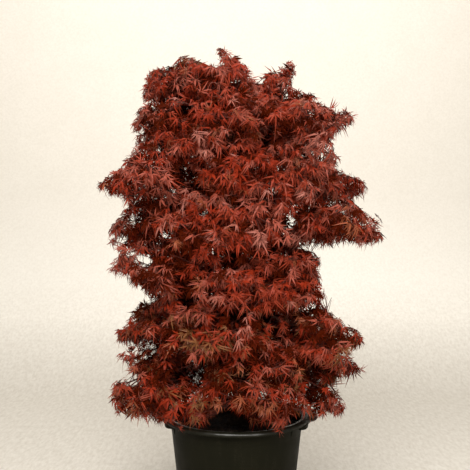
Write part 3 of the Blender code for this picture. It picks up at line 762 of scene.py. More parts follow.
def grip_block(turn):
    """A hand grip as one block: the lip widens to a plate over a bell-shaped skirt."""
    low = GRIP_SKIRT[-1][1]
    skirt = smooth_line(GRIP_SKIRT, 4)
    section = [(wall_radius(GRIP_TOP) - GRIP_SINK, GRIP_TOP)]
    section += arc((GRIP_REACH - 0.0022, GRIP_TOP - 0.0022), 0.0022, 90, 0, 5)
    section += skirt[:-1] + [(skirt[-1][0], low + 0.0006), (skirt[-1][0] - 0.0007, low)]
    section += [(wall_radius(low) - GRIP_SINK, low)]
    bm = swept(section, turn, GRIP_SWEEP, GRIP_STEPS)
    for vert in bm.verts:
        radius = math.hypot(vert.co.x, vert.co.y)
        angle = math.degrees(math.atan2(vert.co.y, vert.co.x)) - turn
        share = ((angle + 180) % 360 - 180) / (GRIP_SWEEP / 2)
        swell = 0.05 + 0.95 * math.sqrt(max(0.0, 1 - share**6))
        least = wall_radius(vert.co.z) - GRIP_SINK
        wanted = least + (radius - least) * swell
        vert.co.x *= wanted / radius
        vert.co.y *= wanted / radius
    return mesh_from(bm, "grip")


def grip_room(turn):
    """The room behind the skirt for the fingers, open below."""
    top, low = GRIP_ROOM[0][1], GRIP_ROOM[-1][1]
    section = [(wall_radius(top) + ROOM_CLEAR, top)] + smooth_line(GRIP_ROOM, 3)
    section += [(wall_radius(low) + ROOM_CLEAR, low)]
    return mesh_from(swept(section, turn, ROOM_SWEEP, ROOM_STEPS), "room")


def cut_away(mesh, tool):
    """A closed mesh less another one."""
    whole = add_piece("whole", mesh, "moulded_plastic", smooth=False)
    cutter = add_piece("cutter", tool, "moulded_plastic", smooth=False)
    step = whole.modifiers.new("cut", "BOOLEAN")
    step.operation = "DIFFERENCE"
    step.solver = "EXACT"
    step.object = cutter
    made = evaluated_mesh(whole)
    bpy.data.objects.remove(cutter)
    return made


def rib_mesh(turn):
    """A small upright rib under the lip, which keeps stacked pots apart."""
    low, high = SHOULDER_HEIGHT + 0.001, POT_HEIGHT - LIP_HEIGHT + 0.002
    bm = bmesh.new()
    bmesh.ops.create_cube(bm, size=1)
    for vert in bm.verts:
        height = high if vert.co.z > 0 else low
        out = 0.0030 if vert.co.z > 0 else 0.0008
        radius = wall_radius(height) + (out if vert.co.x > 0 else -0.0015)
        vert.co = Matrix.Rotation(math.radians(turn), 3, "Z") @ Vector((radius, vert.co.y * 0.0018, height))
    bmesh.ops.bevel(bm, geom=bm.edges, offset=0.0004, segments=2, profile=0.5, affect="EDGES", material=-1)
    return mesh_from(bm, "rib")


def joined_mesh(name, meshes):
    bm = bmesh.new()
    for mesh in meshes:
        bm.from_mesh(mesh)
    joined = bpy.data.meshes.new(name)
    bm.to_mesh(joined)
    bm.free()
    return joined


def make_pot():
    bm = bmesh.new()
    spun(bm, pot_profile(), POT_STEPS)
    shell = mesh_from(bm, "pot_shell")
    drills = []
    for hole in range(DRAIN_HOLES):
        angle = math.tau * hole / DRAIN_HOLES
        bm = bmesh.new()
        place = Matrix.Translation((DRAIN_CIRCLE * math.cos(angle), DRAIN_CIRCLE * math.sin(angle), 0))
        bmesh.ops.create_cone(
            bm, cap_ends=True, segments=28, radius1=DRAIN_RADIUS, radius2=DRAIN_RADIUS,
            depth=POT_FLOOR * 4, matrix=place,
        )
        drills.append(mesh_from(bm, "drill"))
    cut = cut_away(shell, joined_mesh("drills", drills))
    turns = (GRIP_TURN, GRIP_TURN + 180)
    extras = [cut_away(grip_block(turn), grip_room(turn)) for turn in turns]
    extras += [rib_mesh(RIB_TURN + 360 * rib / RIB_COUNT) for rib in range(RIB_COUNT)]
    mesh = joined_mesh("nursery_pot", [cut] + extras)
    pot = add_piece("nursery_pot", mesh, "moulded_plastic", "pot_plastic", ["pot"])
    pot.data.set_sharp_from_angle(angle=math.radians(38))


# Compost


def soil_height(x, y):
    """The uneven top of the compost."""
    radius = math.hypot(x, y)
    share = min(1.0, max(0.0, (radius - SOIL_MOUND) / (POT_TOP_RADIUS - SOIL_MOUND)))
    place = Vector((x, y, 0))
    bumps = sum(noise.noise(place * rate) * height for rate, height in SOIL_BUMPS)
    return SOIL_TOP + (SOIL_EDGE - SOIL_TOP) * share + bumps - 0.001


def make_compost():
    edge = wall_radius(SOIL_EDGE) - POT_WALL - 2 * GAP
    floor = POT_FLOOR + GAP
    bm = bmesh.new()
    profile = [(0, SOIL_TOP)]
    profile += [(edge * ring / SOIL_RINGS, SOIL_TOP) for ring in range(1, SOIL_RINGS + 1)]
    profile += [(wall_radius(floor) - POT_WALL - 2 * GAP, floor), (0, floor)]
    spun(bm, profile, 120)
    for vert in bm.verts:
        if vert.co.z > 0.2:
            vert.co.z = soil_height(vert.co.x, vert.co.y)
    add_piece("compost_bed", mesh_from(bm, "compost_bed"), "damp_compost", "compost", ["compost"])

    random = Random(SEED)
    shapes = []
    for _ in range(6):
        bm = bmesh.new()
        bmesh.ops.create_icosphere(bm, subdivisions=1, radius=1)
        for vert in bm.verts:
            vert.co *= random.uniform(0.75, 1.2)
        shapes.append(corners_and_faces(mesh_from(bm, "chip")))
    turns, places = [], []
    for _ in range(CHIP_COUNT):
        radius = math.sqrt(random.uniform(0.035, 0.93)) * (edge - 0.006)
        angle = random.uniform(0, math.tau)
        x, y = radius * math.cos(angle), radius * math.sin(angle)
        long = random.uniform(*CHIP_LONG) * random.uniform(0.7, 1.2)
        turn = Euler((random.gauss(0, 0.35), random.gauss(0, 0.35), random.uniform(0, math.tau))).to_matrix()
        size = Matrix.Diagonal((long, long * random.uniform(0.35, 0.75), long * random.uniform(0.18, 0.34)))
        turns.append(np.array(turn @ size))
        places.append((x, y, soil_height(x, y) + long * 0.14))
    picks = np.array([random.randrange(len(shapes)) for _ in places])
    mesh = copies_mesh("bark_chips", shapes, picks, np.array(turns), np.array(places))
    add_piece("bark_chips", mesh, "bark_chip", "compost", smooth=False)


# Trunk, leaders and boughs: the rule of the solids


class Limb:
    """A tapering limb: points along its middle, the radius at each, and how round it is."""

    def __init__(self, name, points, radii, roundness=1):
        self.name, self.points, self.radii, self.roundness = name, points, radii, roundness

    def at_height(self, height):
        """The point, direction and radius where the limb first passes a height."""
        for i in range(len(self.points) - 1):
            low, high = self.points[i], self.points[i + 1]
            if low.z <= height <= high.z:
                share = (height - low.z) / (high.z - low.z)
                radius = self.radii[i] + (self.radii[i + 1] - self.radii[i]) * share
                return low.lerp(high, share), (high - low).normalized(), radius
        return None

    def at_share(self, share):
        """The point and direction at a share of the limb's points."""
        place = min(share, 0.9999) * (len(self.points) - 1)
        i = int(place)
        low, high = self.points[i], self.points[i + 1]
        return low.lerp(high, place - i), (high - low).normalized()

    def length(self):
        return sum((b - a).length for a, b in zip(self.points, self.points[1:]))

    def pieces(self):
        return zip(self.points, self.points[1:], self.radii, self.radii[1:])


def bend(start, leave, end, arrive, count, pull=0.40):
    """Points on a smooth curve that leaves and arrives in two given directions."""
    arm = (end - start).length * pull
    first, second = start + leave * arm, end - arrive * arm
    points = []
    for i in range(count):
        t = i / (count - 1)
        u = 1 - t
        points.append(start * u**3 + first * (3 * u * u * t) + second * (3 * u * t * t) + end * t**3)
    return points


def taper(count, start, end, power=0.85):
    return [start + (end - start) * (i / (count - 1)) ** power for i in range(count)]


def trunk_limb():
    heights = [z for z, _ in FLARE] + [0.10 + 0.075 * i for i in range(11)]
    length = TRUNK_TIP.z - TRUNK_FOOT.z
    points, radii = [], []
    for height in heights + [length]:
        # The flare stands straight up, so that its foot is cut level with the compost
        share = max(0.0, height - FLARE[-1][0]) / length
        sway = TRUNK_SWAY * math.sin(math.tau * share) * (1 - share)
        place = TRUNK_FOOT.lerp(TRUNK_TIP, share) + Vector((sway, -sway * 0.6, 0))
        place.z = TRUNK_FOOT.z + height
        points.append(place)
        radius = TRUNK_RADIUS + (TRUNK_TIP_RADIUS - TRUNK_RADIUS) * share**0.8
        flare = next((f for z, f in FLARE if abs(z - height) < 1e-9), 1.0)
        radii.append(radius * flare)
    return Limb("trunk", points, radii, 3)


class Space:
    """The room that one mass keeps to: a lopsided ellipsoid round its heart, cut by planes.

    half_widths are the reaches out, in, to either side, up and down."""

    def __init__(self, name, heart, out, half_widths):
        self.name, self.heart = name, Vector(heart)
        side = UP.cross(out).normalized()
        self.axes = Matrix((out, side, out.cross(side))).transposed()
        self.half_widths = half_widths
        self.planes = []

    def stretched(self, local):
        """The point of the ellipsoid that belongs to a point of a unit ball, from the heart."""
        far, near, side, up, down = self.half_widths
        x = local.x * (far if local.x > 0 else near)
        z = local.z * (up if local.z > 0 else down)
        return self.axes @ Vector((x, local.y * side, z))

    def reach(self, direction):
        """How far the space goes from its heart in a direction."""
        local = self.axes.transposed() @ direction
        far, near, side, up, down = self.half_widths
        ball = Vector((
            local.x / (far if local.x > 0 else near),
            local.y / side,
            local.z / (up if local.z > 0 else down),
        ))
        most = 1 / ball.length
        return min(most, self.clear_reach(direction))

    def is_free(self, direction):
        """Whether the mass ends in the open that way, and not at a neighbour."""
        return self.clear_reach(direction) > self.reach(direction) * 1.02

    def clear_reach(self, direction):
        """How far the planes let the mass go in a direction."""
        most = math.inf
        for normal, distance in self.planes:
            along = normal.dot(direction)
            if along > 1e-6:
                most = min(most, distance / along)
        return most

    def depth(self, point):
        """How far out a point is, as a share of the reach that way."""
        offset = point - self.heart
        if offset.length < 1e-6:
            return 0.0
        return offset.length / max(self.reach(offset.normalized()), 1e-6)

    def cut(self, point, clear):
        """Keeps the space clear of a point, by a plane square to the way there."""
        offset = point - self.heart
        normal = offset.normalized()
        distance = offset.length - clear
        if distance < self.reach(normal) + 0.5:
            self.planes.append((normal, distance))


def top_spaces():
    spaces = []
    for name, (heart, (x, y), (out, across, high)) in TOPS.items():
        spaces.append(Space(name, heart, Vector((x, y, 0)), (out, out, across, high, high)))
    return spaces


def tier_spaces():
    spaces = []
    for number, (turn, quarters) in enumerate(TIERS):
        for quarter, (height, reach) in enumerate(quarters):
            angle = math.radians(turn + 90 * quarter)
            flat = Vector((math.cos(angle), math.sin(angle), 0))
            far = reach * OUT_SHARE - OUT_LESS
            heart = flat * (reach - far) + UP * height
            near = max(heart.xy.length - HEART_CLEAR, LEAST_INNER)
            side = heart.xy.length * SIDE_SHARE + SIDE_MORE
            down = LOW_DOWN if number == len(TIERS) - 1 else TIER_DOWN
            tilt = Matrix.Rotation(math.radians(TILT), 3, flat.cross(-UP))
            name = f"tier_{number + 1}_{SIDES[quarter]}"
            spaces.append(Space(name, heart, tilt @ flat, (far, near, side, TIER_UP, down)))
    return spaces


def part_spaces(spaces):
    """A plane between each two masses, nearer to the one that is smaller that way."""
    for i, one in enumerate(spaces):
        for other in spaces[i + 1 :]:
            offset = other.heart - one.heart
            way = offset.normalized()
            first, second = one.reach(way), other.reach(-way)
            if offset.length > 2.2 * (first + second):
                continue
            share = first / (first + second)
            one.planes.append((way, offset.length * share - MASS_GAP / 2))
            other.planes.append((-way, offset.length * (1 - share) - MASS_GAP / 2))


def nearest_on(start, end, point):
    along = end - start
    share = max(0.0, min(1.0, (point - start).dot(along) / along.length_squared))
    return start + along * share, share


def clear_of_limb(space, limb):
    for start, end, first, last in limb.pieces():
        near, share = nearest_on(start, end, space.heart)
        space.cut(near, first + (last - first) * share + LIMB_CLEAR)


def clear_of_pot(space):
    """Keeps one of the lowest masses above the pot's rim, or above the grip on its side."""
    radius, height, fall = GRIP_PASS if space.name.endswith(("right", "left")) else RIM_PASS
    flat = Vector((space.heart.x, space.heart.y, 0)).normalized()
    fall = math.radians(fall)
    normal = -flat * math.sin(fall) - UP * math.cos(fall)
    space.planes.append((normal, normal.dot(flat * radius + UP * height - space.heart)))


def entry(space, parent_point):
    """Where a limb's tip meets the mass: a little inside it, on the side that faces its parent."""
    back = parent_point - space.heart
    depth = min(space.reach(back.normalized()) * 0.86, back.length - BOUGH_LEAST)
    return space.heart + back.normalized() * max(depth, 0.015)


def leader_limb(space, trunk, height):
    start, along, _ = trunk.at_height(height)
    below = space.heart - UP * 0.2 + (trunk.at_height(height + 0.3)[0] - space.heart) * 0.15
    tip = entry(space, below)
    flat = Vector((space.heart.x, space.heart.y, 0)).normalized()
    leave = (along + flat * 0.32).normalized()
    arrive = (UP + flat * 0.45).normalized()
    points = bend(start, leave, tip, arrive, 10, 0.33)
    return Limb(f"leader_{space.name}", points, taper(10, LEADER_RADIUS, LEADER_TIP_RADIUS), 2)


def bough_limb(space, parents):
    """A side bough from the nearest parent limb that still rises below the mass."""
    choices = []
    for parent in parents:
        flat_way = (space.heart - parent.points[-1]).xy.length
        height = space.heart.z - BOUGH_RISE - BOUGH_SLOPE * min(flat_way, 0.16)
        found = parent.at_height(height)
        if found and (parent.name == "trunk" or height > parent.points[0].z + LEADER_BARE):
            point, along, radius = found
            away = (space.heart - point).length + (LEADER_LESS if parent.name != "trunk" else 0)
            choices.append((away, parent.name, parent, point, along, radius))
    _, _, parent, point, along, radius = min(choices, key=lambda c: c[:2])
    tip = entry(space, point)
    flat = Vector((tip.x - point.x, tip.y - point.y, 0)).normalized()
    leave = (flat + along * 0.75).normalized()
    arrive = (space.heart - tip).normalized()
    points = bend(point, leave, tip, arrive, 5)
    widest = min(BOUGH_RADIUS, radius * 0.8)
    return Limb(f"bough_{space.name}", points, taper(5, widest, BOUGH_TIP_RADIUS))


def ball_directions(count, turn):
    """Points spread evenly over a unit ball by the golden angle, the first one straight out."""
    points = [Vector((1, 0, 0))]
    for i in range(count):
        height = 1 - (2 * i + 1) / count
        ring = math.sqrt(1 - height * height)
        angle = i * GOLDEN_ANGLE + turn
        points.append(Vector((ring * math.cos(angle), ring * math.sin(angle), height)))
    return points


def grow_limbs():
    """The spaces of the masses in order, and the limb that carries each."""
    tops, tiers = top_spaces(), tier_spaces()
    spaces = tops + tiers
    part_spaces(spaces)
    for space in tiers[-len(SIDES) :]:
        clear_of_pot(space)
    trunk = trunk_limb()
    by_name = {space.name: space for space in spaces}
    limbs = {"top_middle": trunk}
    for name, height in LEADERS:
        limbs[name] = leader_limb(by_name[name], trunk, height)
    parents = list(limbs.values())
    for space in tiers:
        limbs[space.name] = bough_limb(space, parents)
    for space in spaces:
        for name, limb in limbs.items():
            if name != space.name:
                clear_of_limb(space, limb)
        clear_of_limb(space, Limb("tip", limbs[space.name].points[-3:], limbs[space.name].radii[-3:]))
    return spaces, limbs


def smoothed(limb, step):
    """The limb with points every so far along a smooth line through its own points."""
    points, radii = [], []
    for i, four in enumerate(fours(limb.points)):
        count = max(1, round((four[2] - four[1]).length / step))
        for j in range(count):
            points.append(between(*four, j / count))
            radii.append(limb.radii[i] + (limb.radii[i + 1] - limb.radii[i]) * (j / count))
    return Limb(limb.name, points + [limb.points[-1]], radii + [limb.radii[-1]], limb.roundness)


def tubes_mesh(name, limbs, roundness):
    """All these limbs as round tubes in one mesh, each closed at its ends."""
    curve = bpy.data.curves.new(name, "CURVE")
    curve.dimensions = "3D"
    curve.bevel_depth = 1.0
    curve.bevel_resolution = roundness
    curve.use_fill_caps = True
    for limb in limbs:
        line = curve.splines.new("POLY")
        line.points.add(len(limb.points) - 1)
        for point, place, radius in zip(line.points, limb.points, limb.radii):
            point.co = (*place, 1)
            point.radius = radius
    return evaluated_mesh(new_object(name, curve))


def bark_mesh(limb, roundness, step, relief):
    """A limb's tube with the ridges and knots of its bark."""
    fine = smoothed(limb, step)
    for i in range(len(fine.radii)):
        along = (fine.points[i] - fine.points[0]).length
        if limb.name != "trunk":
            fine.radii[i] *= 1 + COLLAR_SWELL * math.exp(-along / COLLAR_FALL)
        fine.radii[i] *= 1 + 0.07 * noise.noise(fine.points[i] * 26)
    mesh = tubes_mesh(limb.name, [fine], roundness)
    bm = bmesh.new()
    bm.from_mesh(mesh)
    bmesh.ops.remove_doubles(bm, verts=bm.verts, dist=1e-6)
    bmesh.ops.recalc_face_normals(bm, faces=bm.faces)
    bm.normal_update()
    for vert in bm.verts:
        place = vert.co
        ridge = 1 - 2 * abs(noise.noise(Vector([x * rate for x, rate in zip(place, RIDGE_RATE)])))
        knots = noise.noise(place * KNOT_RATE)
        vert.co += vert.normal * relief * (ridge * 0.6 + knots * 0.8)
        if limb.name == "trunk":
            rise = place.z - TRUNK_FOOT.z
            turn = math.atan2(place.y - TRUNK_FOOT.y, place.x - TRUNK_FOOT.x)
            root = math.exp(-rise / ROOT_FALL) * (0.5 + 0.5 * math.cos(ROOT_COUNT * turn + 0.8))
            vert.co += vert.normal * ROOT_SWELL * root
            if rise < 0.004:
                vert.co.z = TRUNK_FOOT.z - ROOT_DEPTH
    bm.to_mesh(mesh)
    bm.free()
    return mesh


def make_bark(limbs):
    bough_names = [name for name in limbs if name.startswith("tier")]
    trunk = bark_mesh(limbs["top_middle"], 10, 0.004, 0.0011)
    add_piece("trunk_bark", trunk, "ridged_bark", "bark", ["trunk"])
    for name, _ in LEADERS:
        mesh = bark_mesh(limbs[name], 6, 0.005, 0.0006)
        add_piece(f"leader_bark_{name}", mesh, "ridged_bark", "bark", [f"leader_{name}"])
    boughs = joined_mesh("bough_bark", [bark_mesh(limbs[name], 4, 0.006, 0.0004) for name in bough_names])
    add_piece("bough_bark", boughs, "ridged_bark", "bark", [f"bough_{name}" for name in bough_names])


# Shoots, twigs and leaves


class Plant:
    """What has grown: the lines of wood, and each leaf as a row of numbers."""

    def __init__(self):
        self.shoots, self.twigs, self.leaves = [], [], []


def stray(random, size):
    return Vector([random.gauss(0, size) for _ in range(3)])


def shelf_height(point):
    """The nearest shelf of foliage, which waves a little round the crown."""
    turn = math.atan2(point.y, point.x)
    wave = SHELF_WAVE * (math.sin(3 * turn + point.z * 9) + 0.6 * math.sin(5 * turn + 2.1 + point.z * 5))
    return round((point.z - wave) / SHELF_STEP) * SHELF_STEP + wave


def outward(point):
    """The level way out from the line of the trunk."""
    share = max(0.0, min(1.0, (point.z - TRUNK_FOOT.z) / (TRUNK_TIP.z - TRUNK_FOOT.z)))
    middle = TRUNK_FOOT.lerp(TRUNK_TIP, share)
    flat = Vector((point.x - middle.x, point.y - middle.y, 0))
    return flat.normalized() if flat.length > 1e-4 else Vector((0, -1, 0))


def is_open(point):
    """Whether a spray may grow here: inside the crown's edge, and outside the gaps."""
    x, z = seen(point)
    if not bool(within_edge(np.array(x), np.array(z))):
        return False
    return not bool(within_any(SKY_GAPS, np.array(x), np.array(z), -GAP_LESS))


def colour_for(place, depth, random):
    """The colour of a spray: bright outside and dark within, as painted light and shade, darker at the foot
    of the crown by painted shade, and bronze in a few places.
    """
    x, z = seen(place)
    for middle_x, middle_z, radius in BRONZE_PLACES:
        near = place.y < 0 and math.hypot(x - middle_x, z - middle_z) < radius
        if near and random.random() < BRONZE_CHANCE:
            return "leaves_bronze"
    if z < LOW_ZONE and random.random() < LOW_CHANCE:
        return random.choice(("leaves_rust", "leaves_rust", "leaves_bronze"))
    # Painted shade: darker kinds grow more likely towards the foot of the crown and the inside of each mass.
    low = min(1.0, max(0.0, (SHADE_TOP - z) / SHADE_FADE)) * (1.0 if x > SHADE_LEFT else 0.4)
    inside = min(1.0, max(0.0, (0.70 - depth) / 0.42) + SHADE_SHARE * low)
    shares = [front * (1 - inside) + back * inside for _, _, _, front, back in LEAF_COLOURS.values()]
    return random.choices(list(LEAF_COLOURS), shares)[0]


def add_leaf(plant, node, along, side, size, colour, random, plain=False):
    """A leaf on its stalk, which leaves the twig at a slant and lets the blade hang."""
    split = math.radians(random.uniform(*LEAF_SPLIT))
    stalk = size * random.uniform(*STALK_SHARE)
    way = (along * math.cos(split) + side * math.sin(split) + UP * 0.15).normalized()
    base = node + way * stalk
    out = outward(base)
    lie = (way + out * 0.30 - UP * random.uniform(*LEAF_HANG)).normalized()
    look = UP * 0.80 + out * 0.70 + stray(random, LEAF_STRAY)
    look.y -= LEAF_FORWARD if base.y < FRONT_DEPTH else 0.0
    face = (look - lie * look.dot(lie)).normalized()
    shape = LEAF_SHAPES + random.randrange(PLAIN_SHAPES) if plain else random.randrange(LEAF_SHAPES)
    plant.leaves.append((colour, shape, *node, *base, *lie, *face, size))


def add_twig(plant, space, twig, colour, random, first_node=0.0):
    """A twig's line and the pairs of leaves along it, each pair square to the last."""
    plant.twigs.append(twig)
    length = twig.length()
    nodes = max(1, int((length - first_node) / NODE_STEP + 0.5))
    turn = random.uniform(0, math.pi)
    for node in range(nodes):
        share = 1 - node * NODE_STEP / length
        place, along = twig.at_share(max(0.05, share))
        level = level_across(along)
        turn += math.pi / 2 + random.gauss(0, 0.25)
        side = Matrix.Rotation(turn, 3, along) @ level
        size = random.uniform(*LEAF_LENGTH) * (0.86 if node == 0 else 1.0)
        for way in (side, -side):
            mine = colour
            if space and random.random() < RECOLOUR_CHANCE:
                mine = colour_for(place, space.depth(place), random)
            add_leaf(plant, place, along, way, size * random.uniform(0.88, 1.1), mine, random)
    if random.random() < END_LEAF_CHANCE:
        place, along = twig.at_share(1.0)
        add_leaf(plant, place, along, along, random.uniform(*LEAF_LENGTH) * 0.8, colour, random)


def grow_shoot(plant, space, stem, way, random):
    """A shoot from the mass's stem out to its edge, with flat fans of twigs on both sides."""
    reach = space.reach(way)
    end = space.heart + way * reach * SHOOT_SHARE * random.uniform(0.92, 1.0)
    end.z += (shelf_height(end) - end.z) * SHELF_PULL
    for _ in range(8):
        if space.depth(end) < 0.97 and is_open(end):
            break
        end = space.heart + (end - space.heart) * 0.88
    start, along = stem.at_share(random.uniform(0.35, 1.0))
    if (end - start).length < 0.02:
        return
    level = Vector((end.x - start.x, end.y - start.y, 0))
    level = level.normalized() if level.length > 0.02 else outward(end)
    leave = (along * 0.6 + (end - start).normalized()).normalized()
    arrive = (level + (end - start).normalized() * 0.5 - UP * 0.25).normalized()
    points = bend(start, leave, end, arrive, 8)
    for i in range(1, 7):
        points[i] += stray(random, SHOOT_STRAY)
    shoot = Limb("shoot", points, taper(8, SHOOT_RADIUS, SHOOT_TIP_RADIUS))
    plant.shoots.append(shoot)
    length = (end - start).length
    colour = colour_for(end, space.depth(end), random)
    add_twig(plant, space, Limb("twig", points[-3:], shoot.radii[-3:]), colour, random)
    plant.twigs.pop()
    count = max(3, round(TWIG_COUNT * min(1.0, length / FULL_TWIG)))
    for i in range(count):
        share = TWIG_FIRST + (0.97 - TWIG_FIRST) * (i + 0.5) / count
        place, along = shoot.at_share(share)
        side = level_across(along) * (1 if i % 2 else -1)
        spread = math.radians(random.uniform(*TWIG_SPREAD))
        heading = along * math.cos(spread) + side * math.sin(spread)
        heading = (heading + UP * random.gauss(0.10, 0.16)).normalized()
        reach_out = TWIG_LENGTH * (1.12 - 0.55 * share) * random.uniform(0.65, 1.15)
        for shrink in TWIG_SHRINK:
            tip = place + heading * reach_out * shrink
            tip.z += (shelf_height(tip) - tip.z) * 0.35 - 0.10 * reach_out
            if space.depth(tip) < 1.0 and is_open(tip):
                break
        else:
            continue
        arrive = (heading - UP * 0.45).normalized()
        twig_points = bend(place, heading, tip, arrive, 4)
        mine = colour if random.random() < SAME_COLOUR_CHANCE else colour_for(tip, space.depth(tip), random)
        twig = Limb("twig", twig_points, taper(4, TWIG_RADIUS, TWIG_TIP_RADIUS))
        add_twig(plant, space, twig, mine, random, 0.012)


def grow_mass(plant, number, space, limb):
    """Everything that grows on from one limb's tip."""
    random = Random(SEED + number)
    tip = limb.points[-1]
    inward = (tip - limb.points[-2]).normalized()
    points = bend(tip, inward, space.heart, (space.heart - tip).normalized(), 5)
    stem = Limb("stem", points, taper(5, limb.radii[-1], SHOOT_RADIUS * 1.2))
    plant.shoots.append(stem)
    for ball in ball_directions(LEAF_COUNT, random.uniform(0, math.tau)):
        if ball.x >= LEAF_BACK:
            grow_shoot(plant, space, stem, space.stretched(ball).normalized(), random)
    wood = plant.shoots[-LEAF_COUNT:]
    for ball in ball_directions(SPRAY_COUNT, random.uniform(0, math.tau)):
        way = space.stretched(ball).normalized()
        share = SPRAY_SHARE * random.uniform(0.93, 1.0)
        if not space.is_free(way):
            if random.random() < SKIP_CHANCE:
                continue
            share = random.uniform(0.45, 0.92)
        grow_spray(plant, space, wood, space.heart + way * space.reach(way) * share, random)


def twig_to(wood, tip, points=5, width=None, rise=0.0, out=0.0, sink=0.0):
    """A twig from the nearest wood to a tip, and how far that is."""
    start, along = nearest_wood(wood, tip)
    heading = (tip - start).normalized()
    far = (tip - start).length
    width = width or 1.0 + min(1.0, far / FULL_TWIG)
    arrive = (heading + outward(tip) * out - UP * sink).normalized() if out or sink else heading
    line = bend(start, (along + UP * rise + heading).normalized(), tip, arrive, points)
    return Limb("twig", line, taper(points, TWIG_RADIUS * width, TWIG_TIP_RADIUS)), far


def grow_spray(plant, space, wood, tip, random):
    """A twig from the nearest wood of its mass to a tip, with leaves on its outer part."""
    tip = tip.copy()
    tip.z += (shelf_height(tip) - tip.z) * SHELF_PULL * 0.6
    if space.depth(tip) > 1.0 or not is_open(tip):
        return
    twig, far = twig_to(wood, tip, 4, out=0.4, sink=0.2)
    colour = colour_for(tip, space.depth(tip), random)
    add_twig(plant, space, twig, colour, random, far * SPRAY_BARE)


def add_plain_twig(plant, start, heading, tip, random):
    """A twig in the shade inside, with plain leaves that close the view through the crown."""
    twig_points = bend(start, heading, tip, (heading - UP * 0.2).normalized(), 3)
    twig = Limb("twig", twig_points, taper(3, TWIG_RADIUS * 1.1, TWIG_TIP_RADIUS))
    plant.twigs.append(twig)
    length = (tip - start).length
    # Painted shade: most of these inner leaves take the darkest colour.
    colour = "leaves_dark" if random.random() < DARK_CHANCE else "leaves_deep_red"
    turn = random.uniform(0, math.pi)
    for node in range(min(4, max(1, round(length / 0.02)))):
        place, along = twig.at_share(max(0.1, 1 - node * 0.02 / length))
        level = level_across(along)
        turn += math.pi / 2 + random.gauss(0, 0.3)
        side = Matrix.Rotation(turn, 3, along) @ level
        for way in (side, -side):
            add_leaf(plant, place, along, way, random.uniform(*INNER_LEAF), colour, random, True)


def dress_inside(plant, limb, random):
    """Short shaded twigs along a bare limb."""
    count = int(limb.length() / INNER_STEP)
    for i in range(count):
        place, along = limb.at_share((i + random.random()) / count)
        if place.z < INNER_LOWEST:
            continue
        turn = i * GOLDEN_ANGLE + random.uniform(-0.4, 0.4)
        flat = Vector((math.cos(turn), math.sin(turn), 0))
        heading = (flat + along * 0.5 + UP * random.uniform(-0.1, 0.5)).normalized()
        tip = place + heading * random.uniform(*INNER_LENGTH)
        if is_open(tip):
            add_plain_twig(plant, place, heading, tip, random)


def fill_mass(plant, space, wood, random):
    """Shaded twigs through the inside of a mass, up to its edge where it meets a neighbour."""
    count = LOW_INNER_COUNT if space.heart.z < LOW_MASS else INNER_COUNT
    for ball in ball_directions(count, random.uniform(0, math.tau)):
        way = space.stretched(ball).normalized()
        most = 0.80 if space.is_free(way) else 1.0
        tip = space.heart + way * space.reach(way) * random.uniform(0.35, most)
        if not is_open(tip):
            continue
        start, along = nearest_wood(wood, tip)
        if (tip - start).length < 0.008:
            continue
        heading = (tip - start).normalized()
        add_plain_twig(plant, start, (along + heading).normalized(), tip, random)


def edge_targets():
    """Places along the crown's edge, each with the way in from it."""
    targets = []
    count = len(CROWN_EDGE)
    for i, here in enumerate(CROWN_EDGE):
        after = CROWN_EDGE[(i + 1) % count]
        targets.append(here)
        gap = math.hypot(after[0] - here[0], after[1] - here[1])
        for part in range(1, int(gap / EDGE_STEP) + 1):
            share = part / (int(gap / EDGE_STEP) + 1)
            targets.append((here[0] + (after[0] - here[0]) * share, here[1] + (after[1] - here[1]) * share))
    return targets


def grow_edge(plant, spaces, shoots_of):
    """Sprays that fill the crown out to the edge that the front view shows."""
    random = Random(EDGE_SEED)
    for flat_x, flat_z in edge_targets():
        best = None
        for space in spaces:
            for back in EDGE_DEPTHS:
                target = at_depth(flat_x, flat_z, space.heart.y * 0.6 + back)
                depth = space.depth(target)
                if best is None or depth < best[0]:
                    best = (depth, space, target)
        depth, space, target = best
        if depth > EDGE_FAR:
            continue
        tip = target + (space.heart - target).normalized() * random.uniform(*EDGE_IN)
        if tip.xy.length < RIM_CLEAR[0] and tip.z < RIM_CLEAR[1]:
            continue
        twig, far = twig_to(shoots_of[space.name], tip)
        add_twig(plant, space, twig, colour_for(tip, 1.0, random), random, far * EDGE_BARE)


def grow_lone_sprays(plant, shoots_of):
    """Single sprays: those that hang over the pot's rim and grip, and those at the crown's corners."""
    random = Random(LONE_SEED)
    for place in LONE_SPRAYS:
        tip = Vector(place)
        low = tip.z < LONE_LOW
        names = [name for name in shoots_of if not low or name.startswith("tier_6")]
        wood = [shoot for name in names for shoot in shoots_of[name]]
        twig, far = twig_to(wood, tip, width=LONE_WIDTH, rise=0.3, sink=0.6 if low else 0.1)
        colour = random.choice(LONE_COLOURS)
        add_twig(plant, None, twig, colour, random, max(0.0, far - LONE_LEAFY))


def grow_front_sprays(plant, spaces, shoots_of):
    """Bright sprays at the front of the crown, each at the depth of its nearest mass's surface."""
    random = Random(FRONT_SEED)
    for flat_x, flat_z in FRONT_SPRAYS:
        for step in range(FRONT_STEPS):
            tip = at_depth(flat_x, flat_z, FRONT_START + FRONT_STEP * step)
            space = min(spaces, key=lambda space: space.depth(tip))
            if space.depth(tip) < 1.0:
                break
        twig, far = twig_to(shoots_of[space.name], tip, width=LONE_WIDTH)
        # Painted light: the front sprays take the lighter kinds of colour.
        colour = random.choice(FRONT_COLOURS)
        add_twig(plant, None, twig, colour, random, max(0.0, far - LONE_LEAFY))


def level_across(along):
    """The level way square to a twig."""
    level = UP.cross(along)
    return level.normalized() if level.length > 1e-4 else Vector((1, 0, 0))


